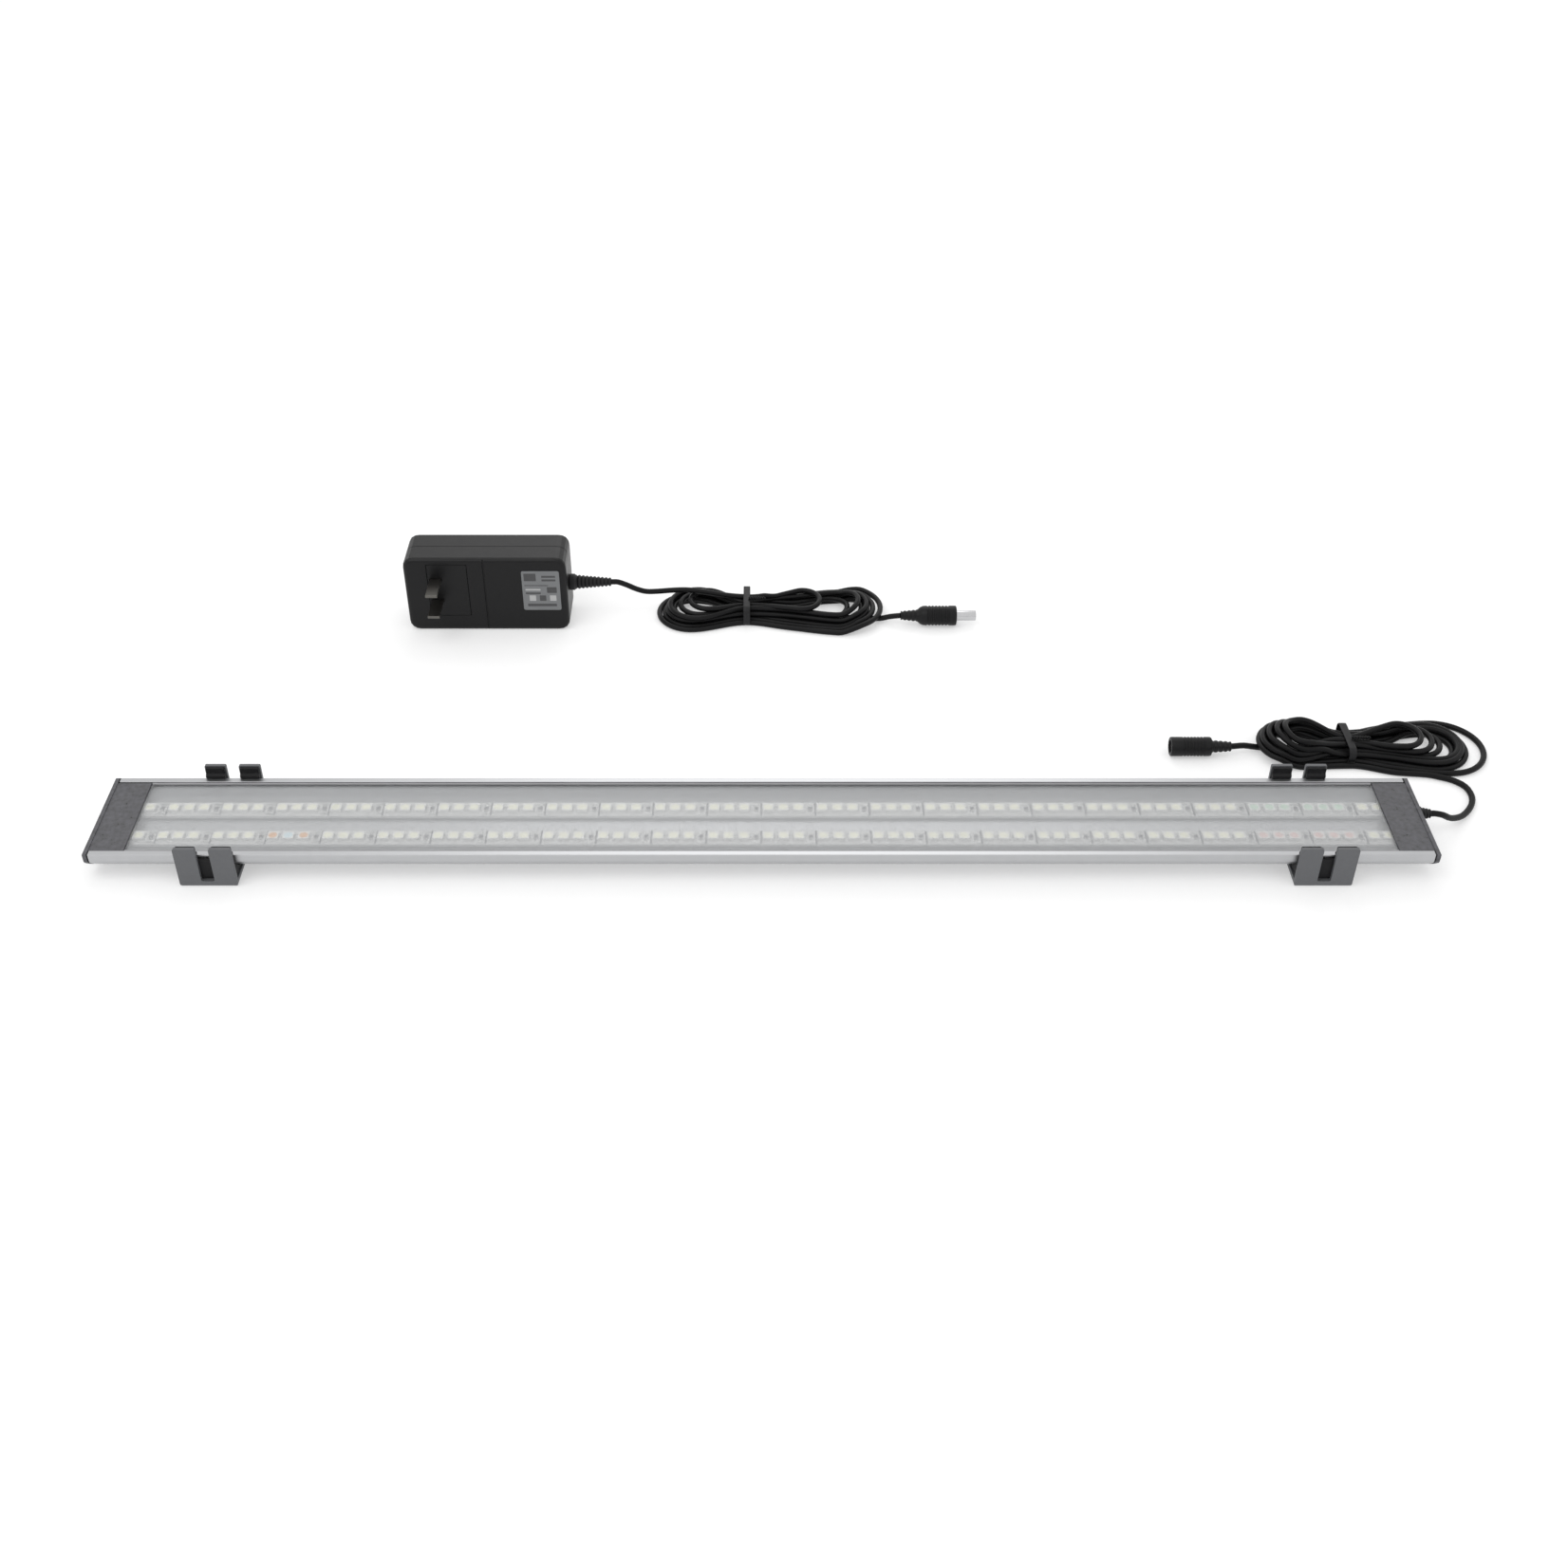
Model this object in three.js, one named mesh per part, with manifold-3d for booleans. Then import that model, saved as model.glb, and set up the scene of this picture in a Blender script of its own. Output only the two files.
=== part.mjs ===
// LED aquarium light on two sliding saddle clips, with its lead and its plug-in power adapter.
// Millimetres, +Z up. The light lies on its clips with the LEDs facing up: X runs along the light,
// Y across it, and z = 0 is the surface that the clips, the adapter and the cords rest on.

import * as THREE from 'three';
import { mergeVertices } from 'three/addons/utils/BufferGeometryUtils.js';
import Module from 'manifold-3d';

const wasm = await Module();
wasm.setup();

// ---- Clearances ----
const bondGap = 0.1; // between pieces that are glued, pressed or screwed together
const seatGap = 0.2; // between a rigid piece and the soft one seated on it
const slideGap = 0.3; // between a clip's liner and the light that it slides along
const cordGap = 0.3; // between the end of a cord and what it runs into

// ---- Housing: an aluminium tray ----
const housingLength = 601;
const housingWidth = 56;
const housingThickness = 10;
const edgeChamfer = 5.5;
const wallThickness = 3;
const floorThickness = 2;
const finDepth = 1.5;
const finPitch = 5;
const finGrooveWidth = 3;
const finZoneWidth = 36;
const portHoleRadius = 1.1; // screw port in each lower corner
const portWall = 0.9;
const portSetback = 2.4; // from the inner face of the wall to the port's axis

// ---- Lens: a clear strip in two grooves ----
const lensThickness = 1.5;
const lensRecess = 0.8; // below the rim
const lensGrooveDepth = 1;
const lensClearance = 0.2;

// ---- LED boards ----
const groupPitch = 25; // three LEDs and one resistor
const ledOffsets = [3, 10, 17]; // from the start of a group
const resistorOffset = 22.5;
const ledSize = 5;
const ledHeight = 1.5;
const resistorSize = [1.6, 3.2, 0.6];
const boardWidth = 10;
const boardThickness = 1.5;
const boardTrim = 0.4; // at each end, off the last group
const boardOffset = 10.2; // of a board's centreline from the light's
const tapeThickness = 0.3;
const tapeWidth = 9;

// ---- End caps ----
const capPlateThickness = 1.8;
const gasketThickness = 0.5;
const capReach = 15; // how far the block goes into the housing
const capTopThickness = 2.1;
const capTopRecess = 0.4; // below the rim
const capSkirtWidth = 3.2;
const capSideGap = 0.3;
const screwRadius = 1;
const screwHeadRadius = 1.9;
const screwHeadHeight = 1.3;
const screwLength = 11;
const screwHoleClearance = 0.2;

// ---- Clips and their rubber liners ----
const clipCentres = { left: -248, right: 252 };
const clipWidth = 26;
const paneSlotWidth = 6; // takes the top edge of a tank's pane
const clipBaseThickness = 3;
const fingerThickness = 1.8;
const fingerRise = 5.9; // above the housing's rim
const linerBaseThickness = 2;
const linerSideThickness = 1.3;
const linerInset = 0.5; // of the liner's edges from the clip's
const linerBead = 1; // how far the liner's bead reaches in over the rim
const linerBeadHeight = 1.2;
const linerSlotDepth = 6.9; // from the top of the liner

// ---- Wires and cords ----
const wireDiameter = 1;
const cordDiameter = 3;
const cordSides = 8;
const cordStep = 1.5; // diameters between two rings of a tube

// ---- Lead's strain relief, hank and socket ----
const leadExitY = 7.6;
const leadExitZ = 10.5;
const reliefNeckRadius = 1.7;
const reliefBaseRadius = 3.4;
const reliefTipRadius = 2.1;
const reliefLength = 6;
const tieWidth = 4;
const tieThickness = 0.8;
const leadHank = {
  left: 243, right: 356, middleY: 70, leftRadius: 17, rightRadius: 22, waistHalf: 12, waistX: 287,
  height: 12.6,
};
const socketRadius = 4.75;
const socketLength = 20;
const socketBootLength = 10;
const socketBootRadius = 2.6;
const socketTipX = 200;
const socketY = 67;
const socketBoreRadius = 3.2;
const socketBoreDepth = 10;
const socketPinRadius = 1.05;
const sleeveThickness = 0.35;

// ---- Power adapter ----
const adapterLeft = -189;
const adapterFront = 178;
const adapterSize = [86, 27, 44];
const adapterCorner = 6;
const adapterEdge = 2;
const adapterWall = 2;
const partingGap = 0.2;
const featureZ = 25; // middle of the blades, the plug insert and the label
const insertX = -166;
const insertSize = [21, 3, 31];
const bladeX = -172.3;
const bladeSpacing = 12.7;
const bladeSize = [6.3, 22, 1.5];
const bladeInside = 5.5;
const grooveX = -146.6;
const grooveWidth = 0.8;
const grooveDepth = 0.6;
const labelX = -116.8;
const labelSize = [20, 0.25, 24];
const adapterPcbThickness = 1.6;
const transformerSize = [20, 12, 20];
const capacitorRadii = [5, 4];
const capacitorLength = 12;
const adapterReliefLength = 22;
const adapterReliefZ = 22;
const adapterHank = {
  left: -57, right: 66, middleY: 193.5, leftRadius: 19, rightRadius: 22, waistHalf: 12, waistX: -8,
  height: 9.6,
};
const plugHandleRadius = 5.4;
const plugHandleLength = 30;
const plugHandleBack = 75;
const plugY = 184;
const barrelRadius = 2.75;
const barrelLength = 10.5;
const barrelWall = 0.6;
const barrelBoreRadius = 1.1;

// ---- Levels and places that follow from the sizes above ----
const lightBottom = clipBaseThickness + seatGap + linerBaseThickness + slideGap;
const lightTop = lightBottom + housingThickness;
const trayFloor = lightBottom + finDepth + floorThickness;
const housingHalf = housingLength / 2;
const halfWidth = housingWidth / 2;
const innerHalf = halfWidth - wallThickness;
const lensTop = lightTop - lensRecess;
const lensBottom = lensTop - lensThickness;
const portY = innerHalf - portSetback;
const portZ = trayFloor - 0.6;
const portTop = portZ + portHoleRadius + portWall;
const portInner = portY - portHoleRadius - portWall;
const plateInner = housingHalf + bondGap + gasketThickness + bondGap;
const lightHalf = plateInner + capPlateThickness;
const capInner = housingHalf - capReach;
const capTop = lightTop - capTopRecess;
const capUnder = capTop - capTopThickness;
const tapeBottom = trayFloor + bondGap;
const boardBottom = tapeBottom + tapeThickness + bondGap;
const boardTop = boardBottom + boardThickness;
const groupCount = Math.floor(housingLength / groupPitch);
const boardHalf = (groupPitch * groupCount) / 2 - boardTrim;
const linerInnerY = halfWidth + slideGap;
const linerOuterY = linerInnerY + linerSideThickness;
const clipInnerY = linerOuterY + bondGap;
const clipOuterY = clipInnerY + fingerThickness;
const fingerTop = lightTop + fingerRise;
const adapterRight = adapterLeft + adapterSize[0];
const adapterBack = adapterFront + adapterSize[1];
const adapterMiddleY = adapterFront + adapterSize[1] / 2;
const cordRest = cordDiameter / 2;
const socketZ = socketRadius;
const plugZ = plugHandleRadius;

// ---- Materials ----
const material = (color, roughness, metalness = 0, opacity = 1) =>
  new THREE.MeshStandardMaterial({
    color, roughness, metalness, opacity, transparent: opacity < 1, flatShading: true,
  });
const finishes = {
  aluminium: [0xb4b5b8, 0.42, 1],
  lens: [0xf2f4f4, 0.12, 0, 0.35],
  board: [0xf1f1ea, 0.5],
  tape: [0x6f7276, 0.8],
  darkPlastic: [0x55555a, 0.6],
  greyPlastic: [0x77797f, 0.55],
  rubber: [0x17171a, 0.75],
  cord: [0x1c1c1e, 0.6],
  blackPlastic: [0x1d1d20, 0.5],
  label: [0x8b8c8e, 0.6],
  steel: [0xb9bbbe, 0.35, 1],
  brass: [0xc9a75a, 0.35, 1],
  greenBoard: [0x2d6a3c, 0.5],
  red: [0xb3262b, 0.5],
  ferrite: [0x3a3a3d, 0.7],
};

// ---- Geometry helpers ----

// Shares the vertices, drops flat triangles and turns the faces outward.
function weld(geometry) {
  const bare = geometry.clone();
  bare.deleteAttribute('normal');
  bare.deleteAttribute('uv');
  const merged = mergeVertices(bare, 1e-4);
  const index = Array.from(merged.index.array);
  const place = merged.attributes.position;
  const corner = [new THREE.Vector3(), new THREE.Vector3(), new THREE.Vector3()];
  const kept = [];
  let volume = 0;
  for (let i = 0; i < index.length; i += 3) {
    const [a, b, c] = index.slice(i, i + 3);
    if (a !== b && b !== c && c !== a) {
      kept.push(a, b, c);
      corner.forEach((v, k) => v.fromBufferAttribute(place, [a, b, c][k]));
      volume += corner[0].dot(corner[1].cross(corner[2]));
    }
  }
  merged.setIndex(volume < 0 ? kept.reverse() : kept);
  return merged;
}

function toSolid(geometry) {
  const welded = weld(geometry);
  return new wasm.Manifold(new wasm.Mesh({
    numProp: 3,
    vertProperties: new Float32Array(welded.attributes.position.array),
    triVerts: new Uint32Array(welded.index.array),
  }));
}

function toGeometry(solid) {
  const mesh = solid.getMesh();
  const geometry = new THREE.BufferGeometry();
  geometry.setAttribute('position', new THREE.BufferAttribute(mesh.vertProperties.slice(), 3));
  geometry.setIndex(new THREE.BufferAttribute(mesh.triVerts.slice(), 1));
  return geometry;
}

// A box between two corners.
function boxBetween(low, high) {
  const size = high.map((v, k) => v - low[k]);
  const middle = high.map((v, k) => (v + low[k]) / 2);
  return new THREE.BoxGeometry(...size).translate(...middle);
}

// An outline through points [u, v, radius], with each corner rounded by its radius.
function roundedOutline(points) {
  const shape = new THREE.Shape();
  const count = points.length;
  points.forEach(([u, v, radius = 0], i) => {
    const corner = new THREE.Vector2(u, v);
    const before = new THREE.Vector2(...points[(i + count - 1) % count]);
    const after = new THREE.Vector2(...points[(i + 1) % count]);
    const from = corner.clone().add(before.sub(corner).setLength(radius));
    const to = corner.clone().add(after.sub(corner).setLength(radius));
    if (i === 0) {
      shape.moveTo(from.x, from.y);
    } else {
      shape.lineTo(from.x, from.y);
    }
    if (radius > 0) {
      shape.quadraticCurveTo(u, v, to.x, to.y);
    }
  });
  shape.closePath();
  return shape;
}

// Adds the mirror image in u of the points of half an outline.
const mirrored = (half) => [...half, ...half.map(([u, v, r]) => [-u, v, r]).reverse()];

const extrude = (shape, depth, more = {}) =>
  new THREE.ExtrudeGeometry(shape, { depth, bevelEnabled: false, curveSegments: 3, ...more });

const axisX = new THREE.Vector3(1, 0, 0);
const axisY = new THREE.Vector3(0, 1, 0);
const axisZ = new THREE.Vector3(0, 0, 1);

// A section drawn in Y and Z, run along X.
function alongX(shape, start, length) {
  const turn = new THREE.Matrix4().makeBasis(axisY, axisZ, axisX);
  return extrude(shape, length).applyMatrix4(turn).translate(start, 0, 0);
}

// An outline drawn in X and Z, run along Y.
function alongY(shape, start, length, more = {}) {
  const turn = new THREE.Matrix4().makeBasis(axisX, axisZ, axisY.clone().negate());
  return extrude(shape, length, more).applyMatrix4(turn).translate(0, start + length, 0);
}

// A turned piece with its axis along X: profile points are [x, radius].
function turnedX(profile, y, z, sides = 20) {
  const points = profile.map(([x, radius]) => new THREE.Vector2(radius, x));
  return new THREE.LatheGeometry(points, sides).rotateZ(-Math.PI / 2).translate(0, y, z);
}

// A turned piece with its axis along Y: profile points are [y, radius].
function turnedY(profile, x, z, sides = 20) {
  const points = profile.map(([y, radius]) => new THREE.Vector2(radius, y));
  return new THREE.LatheGeometry(points, sides).translate(x, 0, z);
}

// A round tube along a route.
function tube(route, diameter) {
  const section = new THREE.Shape(Array.from({ length: cordSides }, (_, i) => {
    const angle = (2 * Math.PI * i) / cordSides;
    return new THREE.Vector2(Math.cos(angle), Math.sin(angle)).multiplyScalar(diameter / 2);
  }));
  const points = route.map((p) => new THREE.Vector3(...p));
  const extrudePath = new THREE.CatmullRomCurve3(points, false, 'centripetal');
  const steps = Math.ceil(extrudePath.getLength() / (cordStep * diameter));
  return new THREE.ExtrudeGeometry(section, { extrudePath, steps, bevelEnabled: false });
}

// ---- The object ----
const group = new THREE.Group();

function add(name, geometry, finish) {
  const mesh = new THREE.Mesh(weld(geometry), material(...finishes[finish]));
  mesh.name = name;
  group.add(mesh);
}

// ---- Housing ----

// Half of the outside of the housing's section, from the bottom to the rim.
const outerHalf = () => [
  [halfWidth - edgeChamfer, lightBottom, 1.2],
  [halfWidth, lightBottom + edgeChamfer, 1.2],
  [halfWidth, lightTop, 0.3],
];

// The grooves between the fins under the tray, from right to left.
function finGrooves() {
  const points = [];
  const count = Math.floor(finZoneWidth / finPitch);
  for (let i = 0; i < count; i += 1) {
    const middle = ((count - 1) / 2 - i) * finPitch;
    const [right, left] = [middle + finGrooveWidth / 2, middle - finGrooveWidth / 2];
    points.push([right, lightBottom], [right, lightBottom + finDepth]);
    points.push([left, lightBottom + finDepth], [left, lightBottom]);
  }
  return points;
}

// A hole with flat sides that stay outside its radius.
function portHole(side, radius) {
  const sides = 12;
  const reach = radius / Math.cos(Math.PI / sides);
  return new THREE.Path(Array.from({ length: sides }, (_, i) => {
    const angle = (2 * Math.PI * i) / sides;
    return new THREE.Vector2(side * portY + reach * Math.cos(angle), portZ + reach * Math.sin(angle));
  }));
}

function housing() {
  const grooveY = innerHalf + lensGrooveDepth;
  const inside = [
    [innerHalf, lightTop, 0.3],
    [innerHalf, lensTop + lensClearance],
    [grooveY, lensTop + lensClearance],
    [grooveY, lensBottom - lensClearance],
    [innerHalf, lensBottom - lensClearance],
    [innerHalf, portTop],
    [portInner, portTop],
    [portInner, trayFloor],
  ];
  const shape = roundedOutline([...mirrored([...outerHalf(), ...inside]), ...finGrooves().reverse()]);
  shape.holes.push(portHole(1, portHoleRadius), portHole(-1, portHoleRadius));
  add('housing_extrusion', alongX(shape, -housingHalf, housingLength), 'aluminium');
}

function lens() {
  const half = innerHalf + lensGrooveDepth - lensClearance;
  const end = capInner - capSideGap;
  add('lens_cover', boxBetween([-end, -half, lensBottom], [end, half, lensTop]), 'lens');
}

// ---- LED boards: each is one strip with its LEDs and resistors soldered on ----
function ledBoard(name, side) {
  const middle = side * boardOffset;
  const sink = 0.05; // the soldered parts start this far inside the board
  let board = toSolid(boxBetween(
    [-boardHalf, middle - boardWidth / 2, boardBottom],
    [boardHalf, middle + boardWidth / 2, boardTop],
  ));
  const solder = (x, [long, wide, high]) => {
    const low = [Math.max(x - long / 2, -boardHalf), middle - wide / 2, boardTop - sink];
    board = board.add(toSolid(boxBetween(low, [x + long / 2, middle + wide / 2, boardTop + high])));
  };
  for (let i = 0; i < groupCount; i += 1) {
    const start = (i - groupCount / 2) * groupPitch;
    ledOffsets.forEach((offset) => solder(start + offset, [ledSize, ledSize, ledHeight]));
    solder(start + resistorOffset, resistorSize);
  }
  add(`led_board_${name}`, toGeometry(board), 'board');
  add(`thermal_tape_${name}`, boxBetween(
    [-boardHalf, middle - tapeWidth / 2, tapeBottom],
    [boardHalf, middle + tapeWidth / 2, tapeBottom + tapeThickness],
  ), 'tape');
}

// ---- Inner wires: they lie on the inner edges of the boards ----
const padY = boardOffset - boardWidth / 2 + 1.4;
const wireZ = boardTop + wireDiameter / 2 + 0.15;

function boardJumper(name, fromEnd, finish) {
  const x = -boardHalf + fromEnd;
  const half = [[padY, wireZ], [padY - 1.4, wireZ], [padY - 4, wireZ - 0.45]];
  const route = [...half, [0, wireZ - 0.8], ...half.map(([y, z]) => [-y, z]).reverse()];
  add(`board_jumper_${name}`, tube(route.map(([y, z]) => [x, y, z]), wireDiameter), finish);
}

function leadCore(name, startY, endY, length, finish) {
  const start = plateInner - bondGap - cordGap;
  const route = [
    [start, startY, wireZ - 0.15],
    [boardHalf - 1, (startY + endY) / 2, wireZ],
    [boardHalf - 2.6, endY, wireZ],
    [boardHalf - 2.6 - length, endY, wireZ],
  ];
  add(`lead_core_${name}`, tube(route, wireDiameter), finish);
}

// ---- End caps, with a gasket and two screws each ----
function endCap(name, side) {
  const at = (x) => side * x;
  const between = (x0, x1, y0, y1, z0, z1) =>
    boxBetween([Math.min(at(x0), at(x1)), y0, z0], [Math.max(at(x0), at(x1)), y1, z1]);
  const blockHalf = innerHalf - capSideGap;
  const plate = roundedOutline(mirrored(outerHalf()));
  const screwHole = screwRadius + screwHoleClearance;
  plate.holes.push(portHole(1, screwHole), portHole(-1, screwHole));
  let cap = toSolid(alongX(plate, Math.min(at(plateInner), at(lightHalf)), capPlateThickness));
  const root = plateInner + 0.05;
  cap = cap.add(toSolid(between(capInner, root, -blockHalf, blockHalf, capUnder, capTop)));
  [1, -1].forEach((edge) => {
    const ys = [edge * blockHalf, edge * (blockHalf - capSkirtWidth)].sort((a, b) => a - b);
    cap = cap.add(toSolid(between(capInner, root, ...ys, portTop + seatGap, capUnder + 0.05)));
  });
  if (side > 0) {
    const reach = [[plateInner - 1, 0], [plateInner - 1, reliefNeckRadius + seatGap],
      [lightHalf + 1, reliefNeckRadius + seatGap], [lightHalf + 1, 0]];
    cap = cap.subtract(toSolid(turnedX(reach, leadExitY, leadExitZ, 16)));
  }
  add(`end_cap_${name}`, toGeometry(cap), 'darkPlastic');
}

function endGasket(name, side) {
  const windowHalf = innerHalf - bondGap;
  const shape = roundedOutline(mirrored([
    ...outerHalf(),
    [windowHalf, lightTop],
    [windowHalf, portTop + bondGap],
    [portInner - bondGap, portTop + bondGap],
    [portInner - bondGap, leadExitZ - reliefNeckRadius - 0.4],
  ]));
  const hole = screwRadius + screwHoleClearance;
  shape.holes.push(portHole(1, hole), portHole(-1, hole));
  const start = side > 0 ? housingHalf + bondGap : -housingHalf - bondGap - gasketThickness;
  add(`end_gasket_${name}`, alongX(shape, start, gasketThickness), 'rubber');
}

function endScrew(name, side, edge) {
  const seat = lightHalf + bondGap;
  const profile = [
    [seat + screwHeadHeight, 0],
    [seat + screwHeadHeight, screwHeadRadius * 0.6],
    [seat + screwHeadHeight * 0.6, screwHeadRadius],
    [seat, screwHeadRadius],
    [seat, screwRadius],
    [seat - screwLength + 1, screwRadius],
    [seat - screwLength, 0],
  ].map(([x, radius]) => [side * x, radius]);
  add(`end_screw_${name}`, turnedX(profile, edge * portY, portZ, 12), 'steel');
}

// ---- Clips: a fork seen from the front, a saddle seen from the end ----
function fork(centre, half, slotHalf, bottom, slotBottom, top) {
  const points = mirrored([
    [half, bottom, 1.5], [half, top, 1], [slotHalf, top, 1], [slotHalf, slotBottom, 0.8],
  ]);
  return roundedOutline(points.map(([x, z, radius]) => [x + centre, z, radius]));
}

function clip(name) {
  const centre = clipCentres[name];
  const half = clipWidth / 2;
  const saddle = roundedOutline(mirrored([
    [clipOuterY, 0, 1.2],
    [clipOuterY, fingerTop, 0.5],
    [clipInnerY, fingerTop, 0.3],
    [clipInnerY, clipBaseThickness],
  ]));
  const front = fork(centre, half, paneSlotWidth / 2, 0, clipBaseThickness, fingerTop);
  const shell = toSolid(alongX(saddle, centre - half - 1, clipWidth + 2))
    .intersect(toSolid(alongY(front, -clipOuterY - 1, 2 * clipOuterY + 2)));
  add(`clip_${name}`, toGeometry(shell), 'greyPlastic');
}

// The liner fills the corners under the housing and has a bead over the rim.
function clipLiner(name) {
  const centre = clipCentres[name];
  const half = clipWidth / 2 - linerInset;
  const bottom = clipBaseThickness + seatGap;
  const top = fingerTop - linerInset;
  const bead = lightTop + slideGap;
  const saddle = roundedOutline(mirrored([
    [linerOuterY, bottom],
    [linerOuterY, top, 0.4],
    [linerInnerY, top, 0.4],
    [linerInnerY, bead + linerBeadHeight + 1],
    [linerInnerY - linerBead, bead + linerBeadHeight],
    [linerInnerY - linerBead, bead],
    [linerInnerY, bead],
    [linerInnerY, lightBottom + edgeChamfer + 0.1],
    [halfWidth - edgeChamfer + 0.1, bottom + linerBaseThickness],
  ]));
  const front = fork(centre, half, paneSlotWidth / 2 + linerInset, bottom, top - linerSlotDepth, top);
  const liner = toSolid(alongX(saddle, centre - half - 1, 2 * half + 2))
    .intersect(toSolid(alongY(front, -linerOuterY - 1, 2 * linerOuterY + 2)));
  add(`clip_liner_${name}`, toGeometry(liner), 'rubber');
}

// ---- Hanks: a cord folded into a bundle, pinched by a tie at its waist ----
function hankOutline({ left, right, middleY, leftRadius, rightRadius, waistHalf, waistX }) {
  const shape = new THREE.Shape();
  const [leftX, rightX] = [left + leftRadius, right - rightRadius];
  const pull = 0.45; // how far the handles of the S-curves reach between a lobe and the waist
  const handle = (from, to) => from + (to - from) * pull;
  shape.absarc(rightX, middleY, rightRadius, -Math.PI / 2, Math.PI / 2);
  shape.bezierCurveTo(
    handle(rightX, waistX), middleY + rightRadius,
    handle(waistX, rightX), middleY + waistHalf, waistX, middleY + waistHalf,
  );
  shape.bezierCurveTo(
    handle(waistX, leftX), middleY + waistHalf,
    handle(leftX, waistX), middleY + leftRadius, leftX, middleY + leftRadius,
  );
  shape.absarc(leftX, middleY, leftRadius, Math.PI / 2, 1.5 * Math.PI);
  shape.bezierCurveTo(
    handle(leftX, waistX), middleY - leftRadius,
    handle(waistX, leftX), middleY - waistHalf, waistX, middleY - waistHalf,
  );
  shape.bezierCurveTo(
    handle(waistX, rightX), middleY - waistHalf,
    handle(rightX, waistX), middleY - rightRadius, rightX, middleY - rightRadius,
  );
  return shape;
}

function hankAndTie(name, hank) {
  const under = tieThickness + cordGap; // room for the tie under the bundle
  const tieHalf = hank.waistHalf + 1;
  const start = hank.waistX - tieWidth / 2;
  const bundle = toSolid(extrude(hankOutline(hank), hank.height, { curveSegments: 8 }));
  const notch = toSolid(boxBetween(
    [start - 6, hank.middleY - 40, -1],
    [start + tieWidth + 6, hank.middleY + 40, under],
  ));
  add(`${name}_hank`, toGeometry(bundle.subtract(notch)), 'cord');
  const ring = (grow, z0, z1) => roundedOutline([
    [hank.middleY - tieHalf - grow, z0, 2], [hank.middleY + tieHalf + grow, z0, 2],
    [hank.middleY + tieHalf + grow, z1, 2], [hank.middleY - tieHalf - grow, z1, 2],
  ]);
  const band = toSolid(alongX(ring(tieThickness, 0, hank.height + cordGap + tieThickness), start, tieWidth));
  const hole = toSolid(alongX(ring(0, tieThickness, hank.height + cordGap), start - 1, tieWidth + 2));
  add(`${name}_tie`, toGeometry(band.subtract(hole)), 'rubber');
}

// ---- The light's own lead ----
function leadStrainRelief() {
  const shoulder = lightHalf + seatGap;
  const profile = [
    [plateInner - bondGap, 0],
    [plateInner - bondGap, reliefNeckRadius],
    [shoulder, reliefNeckRadius],
    [shoulder, reliefBaseRadius],
    [shoulder + 1.2, reliefBaseRadius],
    [shoulder + reliefLength, reliefTipRadius],
    [shoulder + reliefLength, 0],
  ];
  add('lead_strain_relief', turnedX(profile, leadExitY, leadExitZ, 16), 'rubber');
}

function leadCords() {
  const start = lightHalf + seatGap + reliefLength + cordGap;
  const route = [
    [start, leadExitY, leadExitZ],
    [start + 2, leadExitY, leadExitZ],
    [start + 6, 8, 9.3],
    [321, 10, 5.4],
    [329, 15.5, 2.4],
    [336, 24, cordRest],
    [339.5, 33, cordRest],
    [340, 40, cordRest],
    [338.2, leadHank.middleY - leadHank.rightRadius - 0.2, cordRest],
  ];
  add('lead_cord', tube(route, cordDiameter), 'cord');
  const boot = socketTipX + socketLength + socketBootLength;
  const tail = [
    [leadHank.left - cordGap, leadHank.middleY, 5.5],
    [(leadHank.left + boot) / 2, (leadHank.middleY + socketY) / 2, 5.1],
    [boot + 2 * cordGap, socketY, socketZ],
  ];
  add('lead_cord_end', tube(tail, cordDiameter), 'cord');
}

// The socket that the adapter's plug goes into: a moulded shell, a contact sleeve and a centre pin.
function leadSocket() {
  const tip = socketTipX;
  const back = tip + socketLength;
  const bottom = tip + socketBoreDepth;
  const shell = [
    [bottom, 0],
    [bottom, socketBoreRadius],
    [tip, socketBoreRadius],
    [tip, socketRadius - 0.4],
    [tip + 0.4, socketRadius],
    [back, socketRadius],
    [back + 1.5, socketBootRadius + 0.8],
    [back + socketBootLength, socketBootRadius],
    [back + socketBootLength, 0],
  ];
  add('socket_shell', turnedX(shell, socketY, socketZ, 24), 'blackPlastic');
  const outer = socketBoreRadius - bondGap;
  const inner = outer - sleeveThickness;
  const sleeve = [
    [tip + 1, inner],
    [tip + 1, outer],
    [bottom - bondGap, outer],
    [bottom - bondGap, inner],
    [tip + 1, inner],
  ];
  add('socket_contact_sleeve', turnedX(sleeve, socketY, socketZ, 24), 'steel');
  const pin = [
    [bottom - bondGap, 0],
    [bottom - bondGap, socketPinRadius],
    [tip + 1.8, socketPinRadius],
    [tip + 1.3, socketPinRadius * 0.5],
    [tip + 1.3, 0],
  ];
  add('socket_center_pin', turnedX(pin, socketY, socketZ, 12), 'brass');
}

// ---- Power adapter, standing on its long edge with the blades towards the front ----
function adapterBlock(inset, y0, y1, edge) {
  const [left, right] = [adapterLeft + inset, adapterRight - inset];
  const [low, high] = [inset, adapterSize[2] - inset];
  const corner = Math.max(adapterCorner - inset, 1);
  const [x0, x1, z0, z1] = [left + edge, right - edge, low + edge, high - edge];
  const radius = Math.max(corner - edge, 0.5);
  const outline = roundedOutline([[x0, z0, radius], [x1, z0, radius], [x1, z1, radius], [x0, z1, radius]]);
  const bevel = {
    bevelEnabled: true,
    bevelThickness: edge,
    bevelSize: edge,
    bevelSegments: 3,
    curveSegments: 4,
  };
  return alongY(outline, y0 + edge, y1 - y0 - 2 * edge, edge > 0 ? bevel : { curveSegments: 4 });
}

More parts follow.
